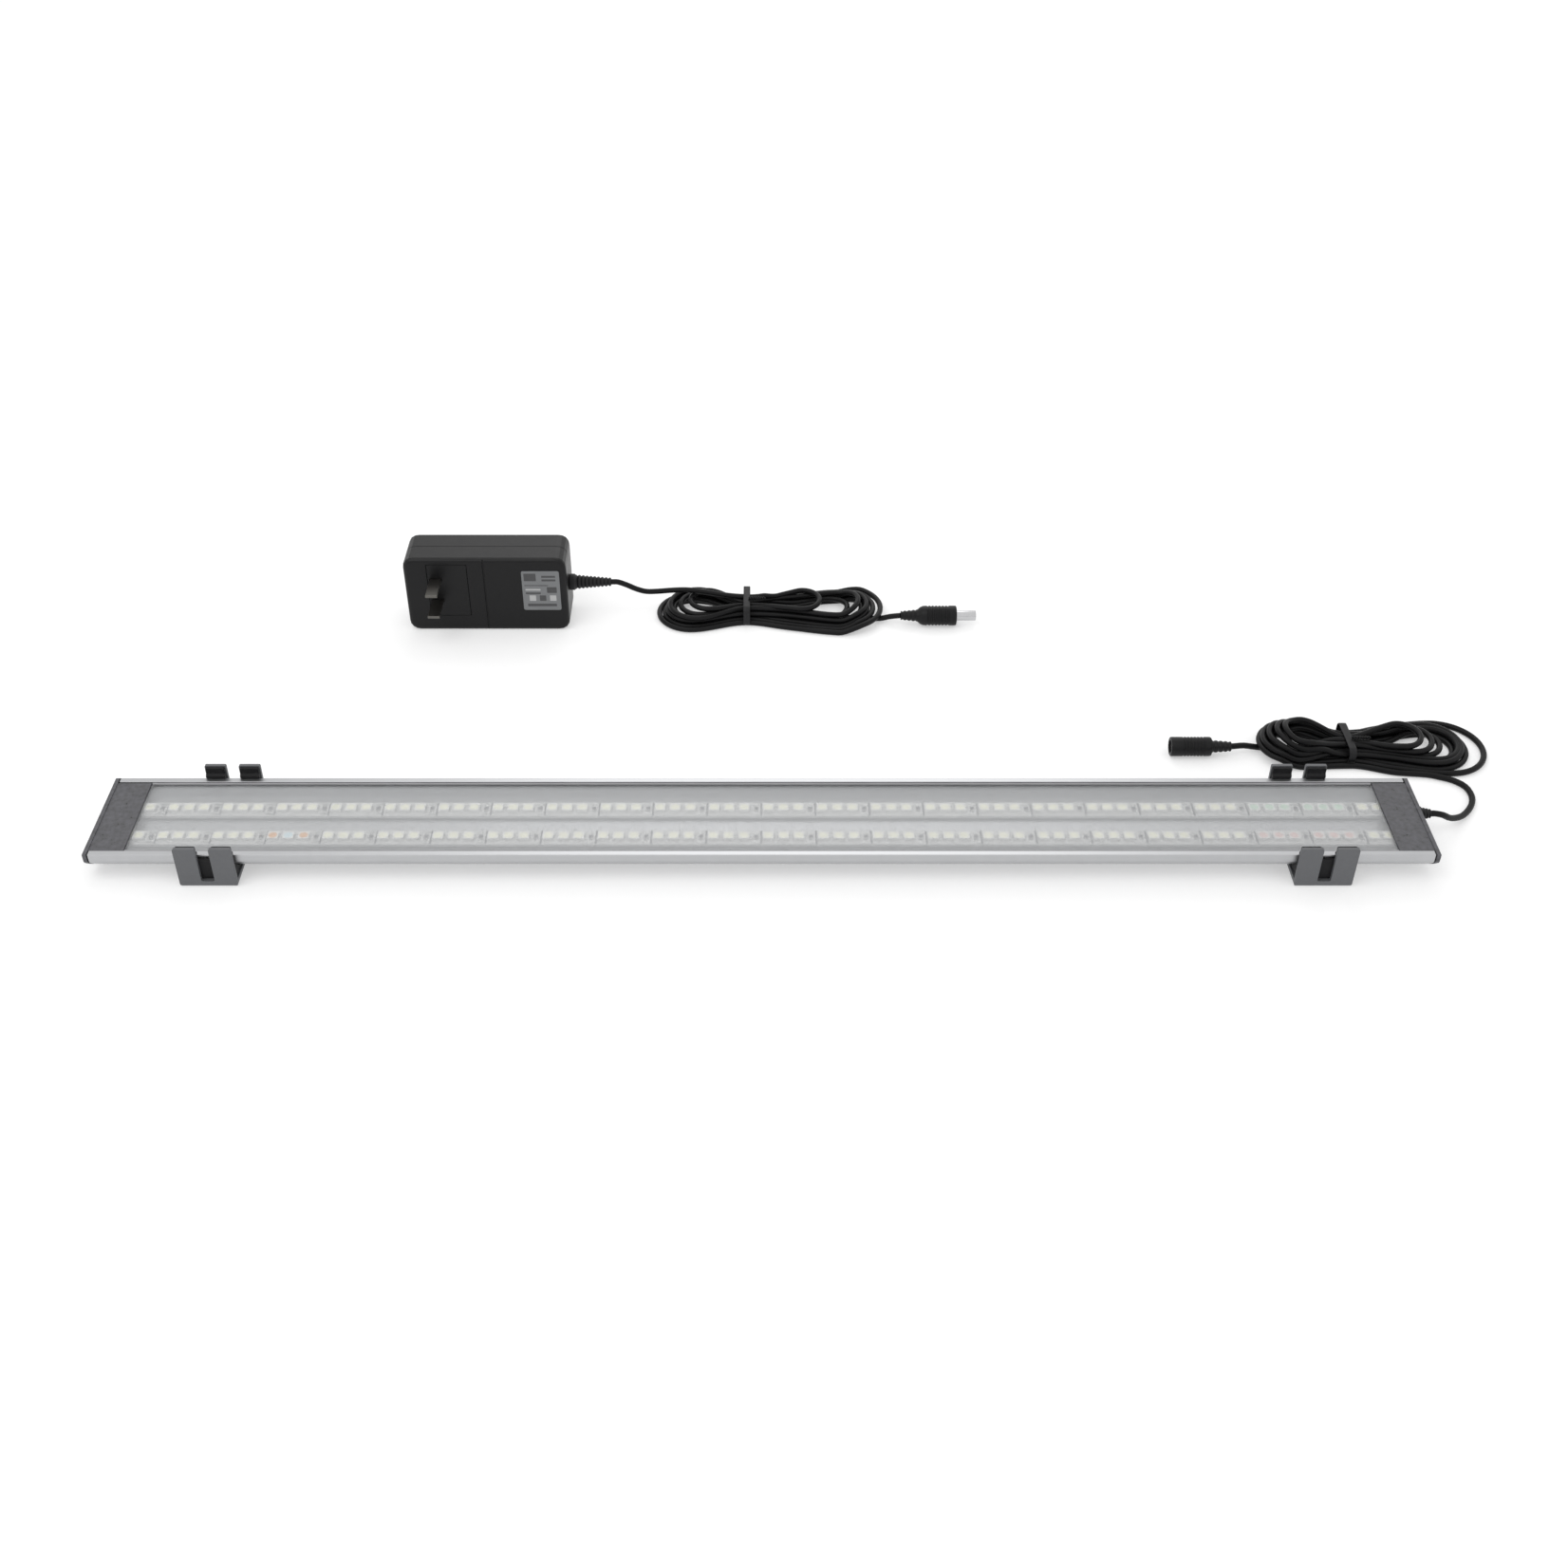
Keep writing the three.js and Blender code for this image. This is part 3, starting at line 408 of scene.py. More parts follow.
# %% Floor, world and lamps
FLOOR_HALF = 3.0  # m
FILL, WHITE = 0.86, 1.0  # the world's strength as a lamp and as it is seen
floor_mesh = bpy.data.meshes.new("floor")
corners = [(x * FLOOR_HALF, y * FLOOR_HALF, 0) for x, y in ((-1, -1), (1, -1), (1, 1), (-1, 1))]
floor_mesh.from_pydata(corners, [], [(0, 1, 2, 3)])
floor = bpy.data.objects.new("floor", floor_mesh)
bpy.context.scene.collection.objects.link(floor)

world = bpy.data.worlds.new("studio")
bpy.context.scene.world = world
world.use_nodes = True
world_nodes, world_links = world.node_tree.nodes, world.node_tree.links
background = world_nodes["Background"]
background.inputs["Color"].default_value = (1, 1, 1, 1)
light_path = world_nodes.new("ShaderNodeLightPath")
level = world_nodes.new("ShaderNodeMix")
level.inputs["A"].default_value = FILL
level.inputs["B"].default_value = WHITE
seen = [world_nodes.new("ShaderNodeMath") for _ in range(2)]
for adder in seen:
    adder.operation = "ADD"
    adder.use_clamp = True
world_links.new(light_path.outputs["Is Camera Ray"], seen[0].inputs[0])
world_links.new(light_path.outputs["Is Glossy Ray"], seen[0].inputs[1])
world_links.new(seen[0].outputs[0], seen[1].inputs[0])
world_links.new(light_path.outputs["Is Transmission Ray"], seen[1].inputs[1])
world_links.new(seen[1].outputs[0], level.inputs["Factor"])
world_links.new(level.outputs["Result"], background.inputs["Strength"])


def soft_lamp(name, place, aim, size, watts):
    """A square lamp at a place, turned to face a point."""
    data = bpy.data.lights.new(name, "AREA")
    data.size = size
    data.energy = watts
    made = bpy.data.objects.new(name, data)
    made.location = place
    away = Vector(place) - Vector(aim)
    made.rotation_euler = away.to_track_quat("Z", "Y").to_euler()
    bpy.context.scene.collection.objects.link(made)
    return made


key_lamp = soft_lamp("key", (-0.55, -0.35, 1.25), (0, 0.05, 0), 0.8, 3.5)
rim_lamp = soft_lamp("rim", (0.05, 1.3, 1.12), (0, 0.05, 0), 0.9, 3.5)
print("lamps", key_lamp.data.energy, rim_lamp.data.energy)

# %% [markdown]
# ## Grain
# Moulded plastic, rubber and satin metal are never even: tint and gloss drift over a few
# millimetres, and a finer texture lies over that. Many finishes share this effect, so it is a
# node group, built once and used with other values each time. It reads the object's own
# coordinates, so it stays put when a clip slides.


# %% Grain
COARSE_SHARE = 0.2  # the coarse noise's scale as a share of the fine one's


def group_socket(group, name, way, kind="NodeSocketFloat", value=None):
    """Adds one socket to a group's face."""
    made = group.interface.new_socket(name=name, in_out=way, socket_type=kind)
    if value is not None:
        made.default_value = value


def grain_group():
    """Two sizes of noise: the coarse one shifts tint and gloss, the fine one is relief."""
    group = bpy.data.node_groups.new("fine_grain", "ShaderNodeTree")
    group_socket(group, "Size", "INPUT", value=900.0)
    group_socket(group, "Color", "INPUT", "NodeSocketColor", (0.5, 0.5, 0.5, 1))
    group_socket(group, "Roughness", "INPUT", value=0.5)
    group_socket(group, "Mottle", "INPUT", value=0.1)
    group_socket(group, "Color", "OUTPUT", "NodeSocketColor")
    group_socket(group, "Roughness", "OUTPUT")
    group_socket(group, "Height", "OUTPUT")
    nodes, links = group.nodes, group.links
    face_in, face_out = nodes.new("NodeGroupInput"), nodes.new("NodeGroupOutput")
    where = nodes.new("ShaderNodeTexCoord")
    fine, coarse = nodes.new("ShaderNodeTexNoise"), nodes.new("ShaderNodeTexNoise")
    wide = nodes.new("ShaderNodeMath")
    wide.operation = "MULTIPLY"
    wide.inputs[1].default_value = COARSE_SHARE
    links.new(face_in.outputs["Size"], wide.inputs[0])
    links.new(wide.outputs[0], coarse.inputs["Scale"])
    coarse.inputs["Detail"].default_value = 4
    fine.inputs["Detail"].default_value = 3
    links.new(where.outputs["Object"], fine.inputs["Vector"])
    links.new(where.outputs["Object"], coarse.inputs["Vector"])
    links.new(face_in.outputs["Size"], fine.inputs["Scale"])
    spread = nodes.new("ShaderNodeMath")
    spread.operation = "SUBTRACT"
    spread.inputs[1].default_value = 0.5
    links.new(coarse.outputs["Fac"], spread.inputs[0])
    shift = nodes.new("ShaderNodeMath")
    shift.operation = "MULTIPLY_ADD"
    shift.inputs[2].default_value = 1.0
    links.new(spread.outputs[0], shift.inputs[0])
    links.new(face_in.outputs["Mottle"], shift.inputs[1])
    tint = nodes.new("ShaderNodeVectorMath")
    tint.operation = "SCALE"
    links.new(face_in.outputs["Color"], tint.inputs[0])
    links.new(shift.outputs[0], tint.inputs["Scale"])
    gloss = nodes.new("ShaderNodeMath")
    gloss.operation = "MULTIPLY"
    links.new(face_in.outputs["Roughness"], gloss.inputs[0])
    links.new(shift.outputs[0], gloss.inputs[1])
    links.new(tint.outputs[0], face_out.inputs["Color"])
    links.new(gloss.outputs[0], face_out.inputs["Roughness"])
    links.new(fine.outputs["Fac"], face_out.inputs["Height"])
    return group


grain = grain_group()
print(grain.name, "has", len(grain.nodes), "nodes")

# %% [markdown]
# ## Dust
# A little dust gathers on faces that look up, in patches. The upward part of the surface's
# normal, times a noise, times an amount, is how far the colour goes over to a pale dust and
# the gloss to dull. It could be painted by hand, but a group does it for every finish.


# %% Dust
DUST_COLOR, DUST_ROUGHNESS = (0.42, 0.4, 0.37, 1), 0.9


def dust_group():
    """Share of dust = upward part of the normal x noise x amount."""
    group = bpy.data.node_groups.new("settled_dust", "ShaderNodeTree")
    group_socket(group, "Color", "INPUT", "NodeSocketColor", (0.5, 0.5, 0.5, 1))
    group_socket(group, "Roughness", "INPUT", value=0.5)
    group_socket(group, "Amount", "INPUT", value=0.1)
    group_socket(group, "Color", "OUTPUT", "NodeSocketColor")
    group_socket(group, "Roughness", "OUTPUT")
    nodes, links = group.nodes, group.links
    face_in, face_out = nodes.new("NodeGroupInput"), nodes.new("NodeGroupOutput")
    where = nodes.new("ShaderNodeTexCoord")
    patches, split = nodes.new("ShaderNodeTexNoise"), nodes.new("ShaderNodeSeparateXYZ")
    patches.inputs["Scale"].default_value = 140
    patches.inputs["Detail"].default_value = 6
    facing_up = nodes.new("ShaderNodeNewGeometry")
    links.new(where.outputs["Object"], patches.inputs["Vector"])
    links.new(facing_up.outputs["Normal"], split.inputs[0])
    up, amount = nodes.new("ShaderNodeMath"), nodes.new("ShaderNodeMath")
    up.operation = amount.operation = "MULTIPLY"
    up.use_clamp = amount.use_clamp = True
    links.new(split.outputs["Z"], up.inputs[0])
    links.new(patches.outputs["Fac"], up.inputs[1])
    links.new(up.outputs[0], amount.inputs[0])
    links.new(face_in.outputs["Amount"], amount.inputs[1])
    pale, dull = nodes.new("ShaderNodeMix"), nodes.new("ShaderNodeMix")
    pale.data_type = "RGBA"
    pale.inputs["B"].default_value = DUST_COLOR
    dull.inputs["B"].default_value = DUST_ROUGHNESS
    links.new(amount.outputs[0], pale.inputs["Factor"])
    links.new(amount.outputs[0], dull.inputs["Factor"])
    links.new(face_in.outputs["Color"], pale.inputs["A"])
    links.new(face_in.outputs["Roughness"], dull.inputs["A"])
    links.new(pale.outputs["Result"], face_out.inputs["Color"])
    links.new(dull.outputs["Result"], face_out.inputs["Roughness"])
    return group


dust = dust_group()
print(dust.name, "has", len(dust.nodes), "nodes")

# %% [markdown]
# ## Finishes
# Every finish is one Principled shader, fed through the grain and the dust groups. Colours
# are low for the black plastics, because even black rubber is lit by the white room, and
# shine sets how much of that room they mirror. One table holds all values, so that two
# finishes can be compared at a glance.


# %% Finishes
BUMP_DEPTH = 0.0001  # m
RELIEF_STRENGTH = 10  # bump strength for a relief of 1


def finish(
    name, color, roughness, size=900, mottle=0.1, relief=0.02, dusty=0.05, metallic=0.0, shine=0.5
):
    """A Principled shader fed through the grain and the dust groups."""
    made = bpy.data.materials.new(name)
    made.use_nodes = True
    nodes, links = made.node_tree.nodes, made.node_tree.links
    shader = nodes["Principled BSDF"]
    shader.inputs["Metallic"].default_value = metallic
    shader.inputs["Specular IOR Level"].default_value = shine
    grained, dusted = nodes.new("ShaderNodeGroup"), nodes.new("ShaderNodeGroup")
    bump = nodes.new("ShaderNodeBump")
    grained.node_tree, dusted.node_tree = grain, dust
    grained.name, dusted.name, bump.name = "grain", "dust", "bump"
    grained.inputs["Size"].default_value = size
    grained.inputs["Color"].default_value = (*color, 1)
    grained.inputs["Roughness"].default_value = roughness
    grained.inputs["Mottle"].default_value = mottle
    dusted.inputs["Amount"].default_value = dusty
    bump.inputs["Strength"].default_value = relief * RELIEF_STRENGTH
    bump.inputs["Distance"].default_value = BUMP_DEPTH
    links.new(grained.outputs["Color"], dusted.inputs["Color"])
    links.new(grained.outputs["Roughness"], dusted.inputs["Roughness"])
    links.new(dusted.outputs["Color"], shader.inputs["Base Color"])
    links.new(dusted.outputs["Roughness"], shader.inputs["Roughness"])
    links.new(grained.outputs["Height"], bump.inputs["Height"])
    links.new(bump.outputs["Normal"], shader.inputs["Normal"])
    return made


# In each row: color, roughness, grain size, mottle, relief, dusty, metallic, shine. A grain
# size is a noise scale per metre, and values left out are the ones in finish above.
FINISH_VALUES = {
    "aluminium": ((0.47, 0.475, 0.485), 0.36, 700, 0.1, 0.01, 0.03, 1.0),
    "led_board": ((0.55, 0.55, 0.54), 0.45, 500, 0.06, 0.005, 0.0),
    "thermal_tape": ((0.34, 0.34, 0.35), 0.8, 300),
    "red_wire": ((0.5, 0.03, 0.03), 0.4),
    "cord_jacket": ((0.004, 0.004, 0.0045), 0.4, 1500, 0.2, 0.01, 0.01, 0.0, 0.16),
    "cord_boot": ((0.007, 0.007, 0.008), 0.5, 1200, 0.15, 0.03, 0.02, 0.0, 0.28),
    "end_cap": ((0.075, 0.075, 0.083), 0.55, 2400, 2.6, 0.12, 0.04),
    "clip_body": ((0.1, 0.103, 0.11), 0.48, 2200, 0.2, 0.06, 0.05),
    "black_rubber": ((0.006, 0.006, 0.007), 0.62, 1600, 0.15, 0.04, 0.02, 0.0, 0.25),
    "connector_shell": ((0.006, 0.006, 0.0065), 0.4, 2200, 0.1, 0.05, 0.01, 0.0, 0.2),
    "adapter_case": ((0.006, 0.006, 0.0065), 0.36, 2000, 0.3, 0.06, 0.015, 0.0, 0.22),
    "adapter_label": ((0.16, 0.165, 0.17), 0.5, 600, 0.25, 0.01, 0.0),
    "contact_steel": ((0.55, 0.55, 0.56), 0.25, 900, 0.1, 0.01, 0.0, 1.0),
    "contact_brass": ((0.13, 0.125, 0.115), 0.4, 900, 0.1, 0.01, 0.0, 1.0),
    "circuit_board": ((0.03, 0.13, 0.05), 0.4, 600),
    "ferrite": ((0.03, 0.03, 0.032), 0.7, 1200),
    "capacitor_can": ((0.03, 0.03, 0.07), 0.35, 600),
    "solder": ((0.45, 0.45, 0.44), 0.35, 1500, 0.15, 0.02, 0.0, 1.0),
    "resistor": ((0.03, 0.03, 0.035), 0.4, 900),
    # painted shade: the grey of the bead that stands in for the shade line under the rim
    "painted_shade_bead": ((0.28, 0.28, 0.29), 0.4, 900, 0.2, 0.02, 0.0),
    "floor": ((0.68, 0.68, 0.68), 0.9, 300, 0.01, 0.0, 0.0, 0.0, 0.0),
}
FINISHES = {name: finish(name, *values) for name, values in FINISH_VALUES.items()}
FLOOR_GLOW = 0.38  # keeps the floor pale without more light on the object
floor.data.materials.append(FINISHES["floor"])
floor_shader = FINISHES["floor"].node_tree.nodes["Principled BSDF"]
floor_shader.inputs["Emission Color"].default_value = (1, 1, 1, 1)
floor_shader.inputs["Emission Strength"].default_value = FLOOR_GLOW
lead_cord.data.materials.append(FINISHES["cord_jacket"])
adapter_cord.data.materials.append(FINISHES["cord_jacket"])
print(len(FINISHES), "finishes")

# %% [markdown]
# ## One LED
# An LED is a white frame round a shallow well that is filled with yellowish phosphor. The
# frame is a ring stack that goes from a square outside to a round well, so each LED costs
# only a few dozen faces. Most are warm white, but a few groups carry amber, blue-white, pink
# or green lamps, and the frames are brighter than the board under them.


# %% One LED
BOARD_TOP = 11.0  # mm above the table
LED_HALF, WELL, LED_HEIGHT = 2.45, 2.1, 1.5  # mm
LAMP_COLORS = {
    "lamp_white": (0.9, 0.89, 0.68),
    "lamp_amber": (0.75, 0.36, 0.1),
    "lamp_cool": (0.62, 0.8, 0.86),
    "lamp_pink": (0.74, 0.5, 0.46),
    "lamp_green": (0.5, 0.68, 0.52),
}
for name, color in LAMP_COLORS.items():
    FINISHES[name] = finish(name, color, 0.4, 900, 0.08, 0.01, 0.0)
FINISHES["lamp_frame"] = finish("lamp_frame", (0.8, 0.8, 0.78), 0.4, 900, 0.05, 0.01, 0.0)
STRIP_FINISHES = ["led_board", *LAMP_COLORS, "solder", "resistor", "lamp_frame"]
SOLDER, RESISTOR, LAMP_FRAME = (STRIP_FINISHES.index(n) for n in STRIP_FINISHES[-3:])


def led(x, y, lamp):
    """A square frame with a round well, and a domed disc of phosphor in the well."""
    turn = np.linspace(0, 2 * np.pi, 16, endpoint=False) + np.pi / 4
    circle = np.stack([np.cos(turn), np.sin(turn)], 1)
    square = circle / np.abs(circle).max(1)[:, None] * LED_HALF
    rings = [(square, 0), (square, 1.4), (square * 0.97, LED_HEIGHT)]
    rings += [(circle * WELL, LED_HEIGHT), (circle * 1.95, 1.3)]
    place = np.array([x, y, BOARD_TOP + 0.02])
    frame_solid = capped(np.array([facing(r, h, "z") for r, h in rings]) + place)
    dome = [(circle * 1.93, 1.0), (circle * 1.93, 1.36), (circle * 1.3, 1.42)]
    dome_solid = capped(np.array([facing(r, h, "z") for r, h in dome]) + place)
    return [(frame_solid, LAMP_FRAME), (dome_solid, lamp)]


led_faces = sum(len(faces) for (points, faces), number in led(0, 0, 1))
print(len(LAMP_COLORS), "lamp colours and", led_faces, "faces per LED")

# %% [markdown]
# ## One group of LEDs
# A strip of this kind repeats a group: three LEDs in a row on solder feet, one resistor, and
# a pair of tinned pads beside a printed line where the strip may be cut. All but the LEDs
# are small flat blocks. An array modifier would repeat one group, but the colours differ.


# %% One group of LEDs
LEDS_AT, RESISTOR_AT, CUT_AT = (3, 10, 17), 22.5, 24.9  # mm from the group's start
FOOT_OUT, FOOT_ROWS = 2.75, (-1.5, 0, 1.5)  # mm from the LED's middle


def flat_block(x, y, lift, size, corner, edge, number, steps=1):
    """A small block whose middle is a lift above the board, with its material's number."""
    centre = (x, y, BOARD_TOP + lift)
    return block(centre, size, corner, edge, steps=steps, rounds=1), number


def strip_group(start, y, lamps):
    """Three LEDs with solder feet, one resistor, and the pads and the line at the cut."""
    solids = []
    for offset, lamp in zip(LEDS_AT, lamps):
        solids += led(start + offset, y, lamp)
        for side in (-1, 1):
            for row in FOOT_ROWS:
                x = start + offset + side * FOOT_OUT
                solids.append(flat_block(x, y + row, 0.14, (0.6, 0.9, 0.24), 0.1, 0.08, SOLDER))
    x = start + RESISTOR_AT
    solids.append(flat_block(x, y, 0.35, (1.6, 2.2, 0.6), 0.1, 0.06, RESISTOR))
    for side in (-1, 1):
        end_y = y + side * 1.35
        solids.append(flat_block(x, end_y, 0.35, (1.7, 0.5, 0.64), 0.1, 0.08, SOLDER))
    for row in (-3.4, 3.4):
        solids.append(flat_block(x, y + row, 0.05, (3.4, 1.6, 0.1), 0.6, 0.03, SOLDER, steps=2))
    solids.append(flat_block(start + CUT_AT, y, 0.03, (0.8, 9.2, 0.06), 0.1, 0.02, RESISTOR))
    return solids


print("solids per group", len(strip_group(0, 0, (1, 1, 1))))

# %% [markdown]
# ## Both strips
# Two strips of 24 groups lie side by side, each on a white board 10 mm wide. Each strip is
# one mesh with a number per face for its material, so that it stays one piece to fit.


# %% Both strips
GROUP, GROUPS = 25.0, 24  # mm and count
BOARD_SIZE = (599.2, 10, 1.5)
WARM = (1, 1, 1)


def led_strip(name, y, odd_groups):
    """One board with all its groups; odd_groups gives other lamps to a few of them."""
    middle = (0, y, BOARD_TOP - BOARD_SIZE[2] / 2)
    solids = [(block(middle, BOARD_SIZE, 0.4, 0.1, steps=2, rounds=1), 0)]
    for k in range(GROUPS):
        solids += strip_group((k - GROUPS / 2) * GROUP, y, odd_groups.get(k, WARM))
    made = piece(name, solids, "light", (name,))
    for finish_name in STRIP_FINISHES:
        made.data.materials.append(FINISHES[finish_name])
    return made


near_odd = {3: (2, 3, 2), 21: (4, 4, 4), 22: (4, 4, 4)}
far_odd = {21: (5, 5, 5), 22: (5, 5, 5)}
front_strip = led_strip("led_board_front", -10.2, near_odd)
rear_strip = led_strip("led_board_rear", 10.2, far_odd)
print("faces per strip", len(front_strip.data.polygons), len(rear_strip.data.polygons))

# %% [markdown]
# ## Painted shade bead
# A grey bead runs along both long edges of the clear cover, in the corner under the rim. It is
# painted shade: a dark line that stands in for the shade along the inner wall under the rim.
# Its height varies a little. It is a half-round section carried along X, with a slow wave in
# its radius.

# %% Painted shade bead
SHADE_BEAD_HALF, SHADE_BEAD_Y, COVER_TOP = 285.0, 24.35, 14.72  # mm
BEAD_RADIUS = 0.56  # mm
LONG_WAVE, SHORT_WAVE = (0.03, 7.3), (0.02, 2.9)  # mm of drift, and mm along for a radian


def bead(side, count=220):
    """A half-round section along X; two sine waves let its radius drift a little."""
    x = np.linspace(-SHADE_BEAD_HALF, SHADE_BEAD_HALF, count)
    radius = BEAD_RADIUS + LONG_WAVE[0] * np.sin(x / LONG_WAVE[1])
    radius = radius + SHORT_WAVE[0] * np.sin(x / SHORT_WAVE[1] + side)
    turn = np.radians(np.linspace(0, 180, 9))
    y = side * SHADE_BEAD_Y + np.cos(turn)[None, :] * radius[:, None]
    z = COVER_TOP + np.sin(turn)[None, :] * radius[:, None]
    return capped(np.stack([np.broadcast_to(x[:, None], y.shape), y, z], axis=2))


# A grey bead at both long edges of the cover: painted shade along the inner wall under the rim.
painted_shade_bead = piece("cover_painted_shade_bead", [(bead(-1), 0), (bead(1), 0)], "light")
painted_shade_bead.data.materials.append(FINISHES["painted_shade_bead"])
print("painted_shade_bead", len(painted_shade_bead.data.polygons), "faces")

# %% [markdown]
# ## Clear cover
# The cover is clear plastic, so the LEDs show through it, and at a glancing view it mirrors
# more. Real refraction would need many light bounces and gives nothing here, because the
# cover is flat and thin. So it is mostly see-through: its alpha is half the Fresnel share
# plus a trace of haze.

# %% Clear cover
HAZE_GAIN, HAZE_LEAST = 0.5, 0.02
clear = bpy.data.materials.new("clear_lens")
clear.use_nodes = True
clear_nodes, clear_links = clear.node_tree.nodes, clear.node_tree.links
clear_shader = clear_nodes["Principled BSDF"]
clear_shader.inputs["Base Color"].default_value = (0.7, 0.71, 0.72, 1)
clear_shader.inputs["Roughness"].default_value = 0.22
rim_share = clear_nodes.new("ShaderNodeFresnel")
rim_share.inputs["IOR"].default_value = 1.45
haze = clear_nodes.new("ShaderNodeMath")
haze.operation = "MULTIPLY_ADD"
haze.use_clamp = True
haze.inputs[1].default_value = HAZE_GAIN
haze.inputs[2].default_value = HAZE_LEAST
clear_links.new(rim_share.outputs[0], haze.inputs[0])
clear_links.new(haze.outputs[0], clear_shader.inputs["Alpha"])
FINISHES["clear_lens"] = clear
print(clear.name, "has", len(clear_nodes), "nodes")

# %% [markdown]
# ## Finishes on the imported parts
# The channel, the clips, the caps, the adapter's case and the screws keep their packed
# shapes, which are right already. A weld and a small bevel round their edges, so that each
# edge catches the light, and each gets its finish. Bevelling by hand would have to be redone
# after every change.

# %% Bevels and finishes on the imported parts
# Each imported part's finish and the width of its bevel in mm; 0 leaves its edges as they are.
DRESS = {
    "housing_extrusion": ("aluminium", 0.25),
    "lens_cover": ("clear_lens", 0.2),
    "thermal_tape_front": ("thermal_tape", 0),
    "thermal_tape_rear": ("thermal_tape", 0),
    "board_jumper_positive": ("red_wire", 0),
    "board_jumper_negative": ("cord_jacket", 0),
    "lead_core_positive": ("red_wire", 0),
    "lead_core_negative": ("cord_jacket", 0),
    "end_cap_left": ("end_cap", 0.3),
    "end_cap_right": ("end_cap", 0.3),
    "end_gasket_left": ("black_rubber", 0),
    "end_gasket_right": ("black_rubber", 0),
    "clip_left": ("clip_body", 0.35),
    "clip_right": ("clip_body", 0.35),
    # The clip liners are black rubber, and their black also paints the shade that falls in the
    # clips' slots under the light: partly painted shade.
    "clip_liner_left": ("black_rubber", 0.25),
    "clip_liner_right": ("black_rubber", 0.25),
    "adapter_case_front": ("adapter_case", 0.2),
    "adapter_case_back": ("adapter_case", 0.2),
    "adapter_plug_insert": ("adapter_case", 0.25),
    "adapter_blade_upper": ("contact_brass", 0.3),
    "adapter_blade_lower": ("contact_brass", 0.3),
    "adapter_circuit_board": ("circuit_board", 0),
    "adapter_transformer": ("ferrite", 0.3),
    "adapter_capacitor_input": ("capacitor_can", 0),
    "adapter_capacitor_output": ("capacitor_can", 0),
    "plug_insulator": ("connector_shell", 0),
    "socket_contact_sleeve": ("contact_steel", 0),
    "socket_center_pin": ("contact_brass", 0),
}
for side in ("left", "right"):
    for row in ("front", "rear"):
        DRESS[f"end_screw_{side}_{row}"] = ("contact_steel", 0.15)
WELD_REACH = 0.00002  # m
BEVEL_FROM = 40  # degrees between two faces


def dress(node, finish_name, width):
    """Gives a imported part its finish, welds its split corners and bevels its edges."""
    part = bpy.data.objects[node]
    part.data.materials.clear()
    part.data.materials.append(FINISHES[finish_name])
    if width:
        weld = part.modifiers.new("weld", "WELD")
        weld.merge_threshold = WELD_REACH
        bevel = part.modifiers.new("bevel", "BEVEL")
        bevel.width = width * MM
        bevel.segments = 3
        bevel.limit_method = "ANGLE"
        bevel.angle_limit = np.radians(BEVEL_FROM)
        bevel.harden_normals = True


for node, (finish_name, width) in DRESS.items():
    dress(node, finish_name, width)
print(len(DRESS), "packed parts dressed")

# %% [markdown]
# ## Boots
# A boot keeps a cord from kinking where it enters something hard. It tapers, and rings are
# cut into it so that it bends evenly. It is a turned shape: a line of radii swept round the
# cord's axis. The rings could be a bump map, but they show in outline, so they are modelled.


# %% Boots
# A point on each axis in mm; every axis runs along x.
LEAD_AXIS, ADAPTER_AXIS = (0, 7.6, 10.5), (0, 191.5, 22)
PLUG_AXIS, SOCKET_AXIS = (0, 184, 5.4), (0, 67, 4.75)


def ribbed(start, end, radius, tip, ribs, depth):
    """Radii that taper from start to end and dip by the depth at each of the ribs."""
    along = np.linspace(0, 1, ribs * 8 + 1)
    dips = depth * (0.5 - 0.5 * np.cos(along * ribs * 2 * np.pi)) ** 2
    radii = radius + (tip - radius) * along - dips
    return list(zip(start + along * (end - start), radii))


def turned_piece(name, profile, axis, finish_name, node, through=False):
    """One turned piece with its finish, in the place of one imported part."""
    solid = turned(profile, axis, through=through)
    made = piece(name, [(solid, 0)], "light", (node,))
    made.data.materials.append(FINISHES[finish_name])
    return made


lead_boot = [(300.6, 1.7), (303.2, 1.7), (303.25, 3.2), (303.45, 3.4), (304.3, 3.4)]
lead_boot += [(304.5, 3.2)] + ribbed(304.6, 309.0, 3.0, 2.15, 3, 0.45) + [(309.2, 1.7)]
relief = turned_piece("lead_boot", lead_boot, LEAD_AXIS, "cord_boot", "lead_strain_relief")
adapter_boot = [(-104.9, 2.2), (-102.9, 2.2), (-102.8, 4.2), (-102.6, 4.4), (-100.4, 4.4)]
adapter_boot += [(-100.0, 4.1)] + ribbed(-99.8, -81.4, 3.9, 2.3, 9, 0.6)
adapter_boot += [(-80.9, 2.2), (-80.8, 1.8)]
adapter_relief = turned_piece(
    "adapter_boot", adapter_boot, ADAPTER_AXIS, "cord_boot", "adapter_strain_relief"
)
print("faces per boot", len(relief.data.polygons), len(adapter_relief.data.polygons))

# %% [markdown]
# ## Plug and socket
# The adapter's plug has a grooved handle and a hollow metal barrel, and the lead's socket is
# a grooved shell with a deep bore. All three are turned shapes. The barrel is a closed line
# of radii, joined to itself like a torus, so that it has an inner wall.


# %% Plug and socket
def grooves(starts, steps, outer, inner):
    """Radii that step in and out again after each start, at four distances from it."""
    dip = list(zip(steps, (outer, inner, inner, outer)))
    return [(start + step, radius) for start in starts for step, radius in dip]


def rounded_end(x, radius, edge, steps=4):
    """A quarter circle that rounds the far end of a turned shape."""
    turn = np.radians(np.linspace(0, 90, steps + 1))
    return [(x + edge * (np.sin(t) - 1), radius - edge * (1 - np.cos(t))) for t in turn]


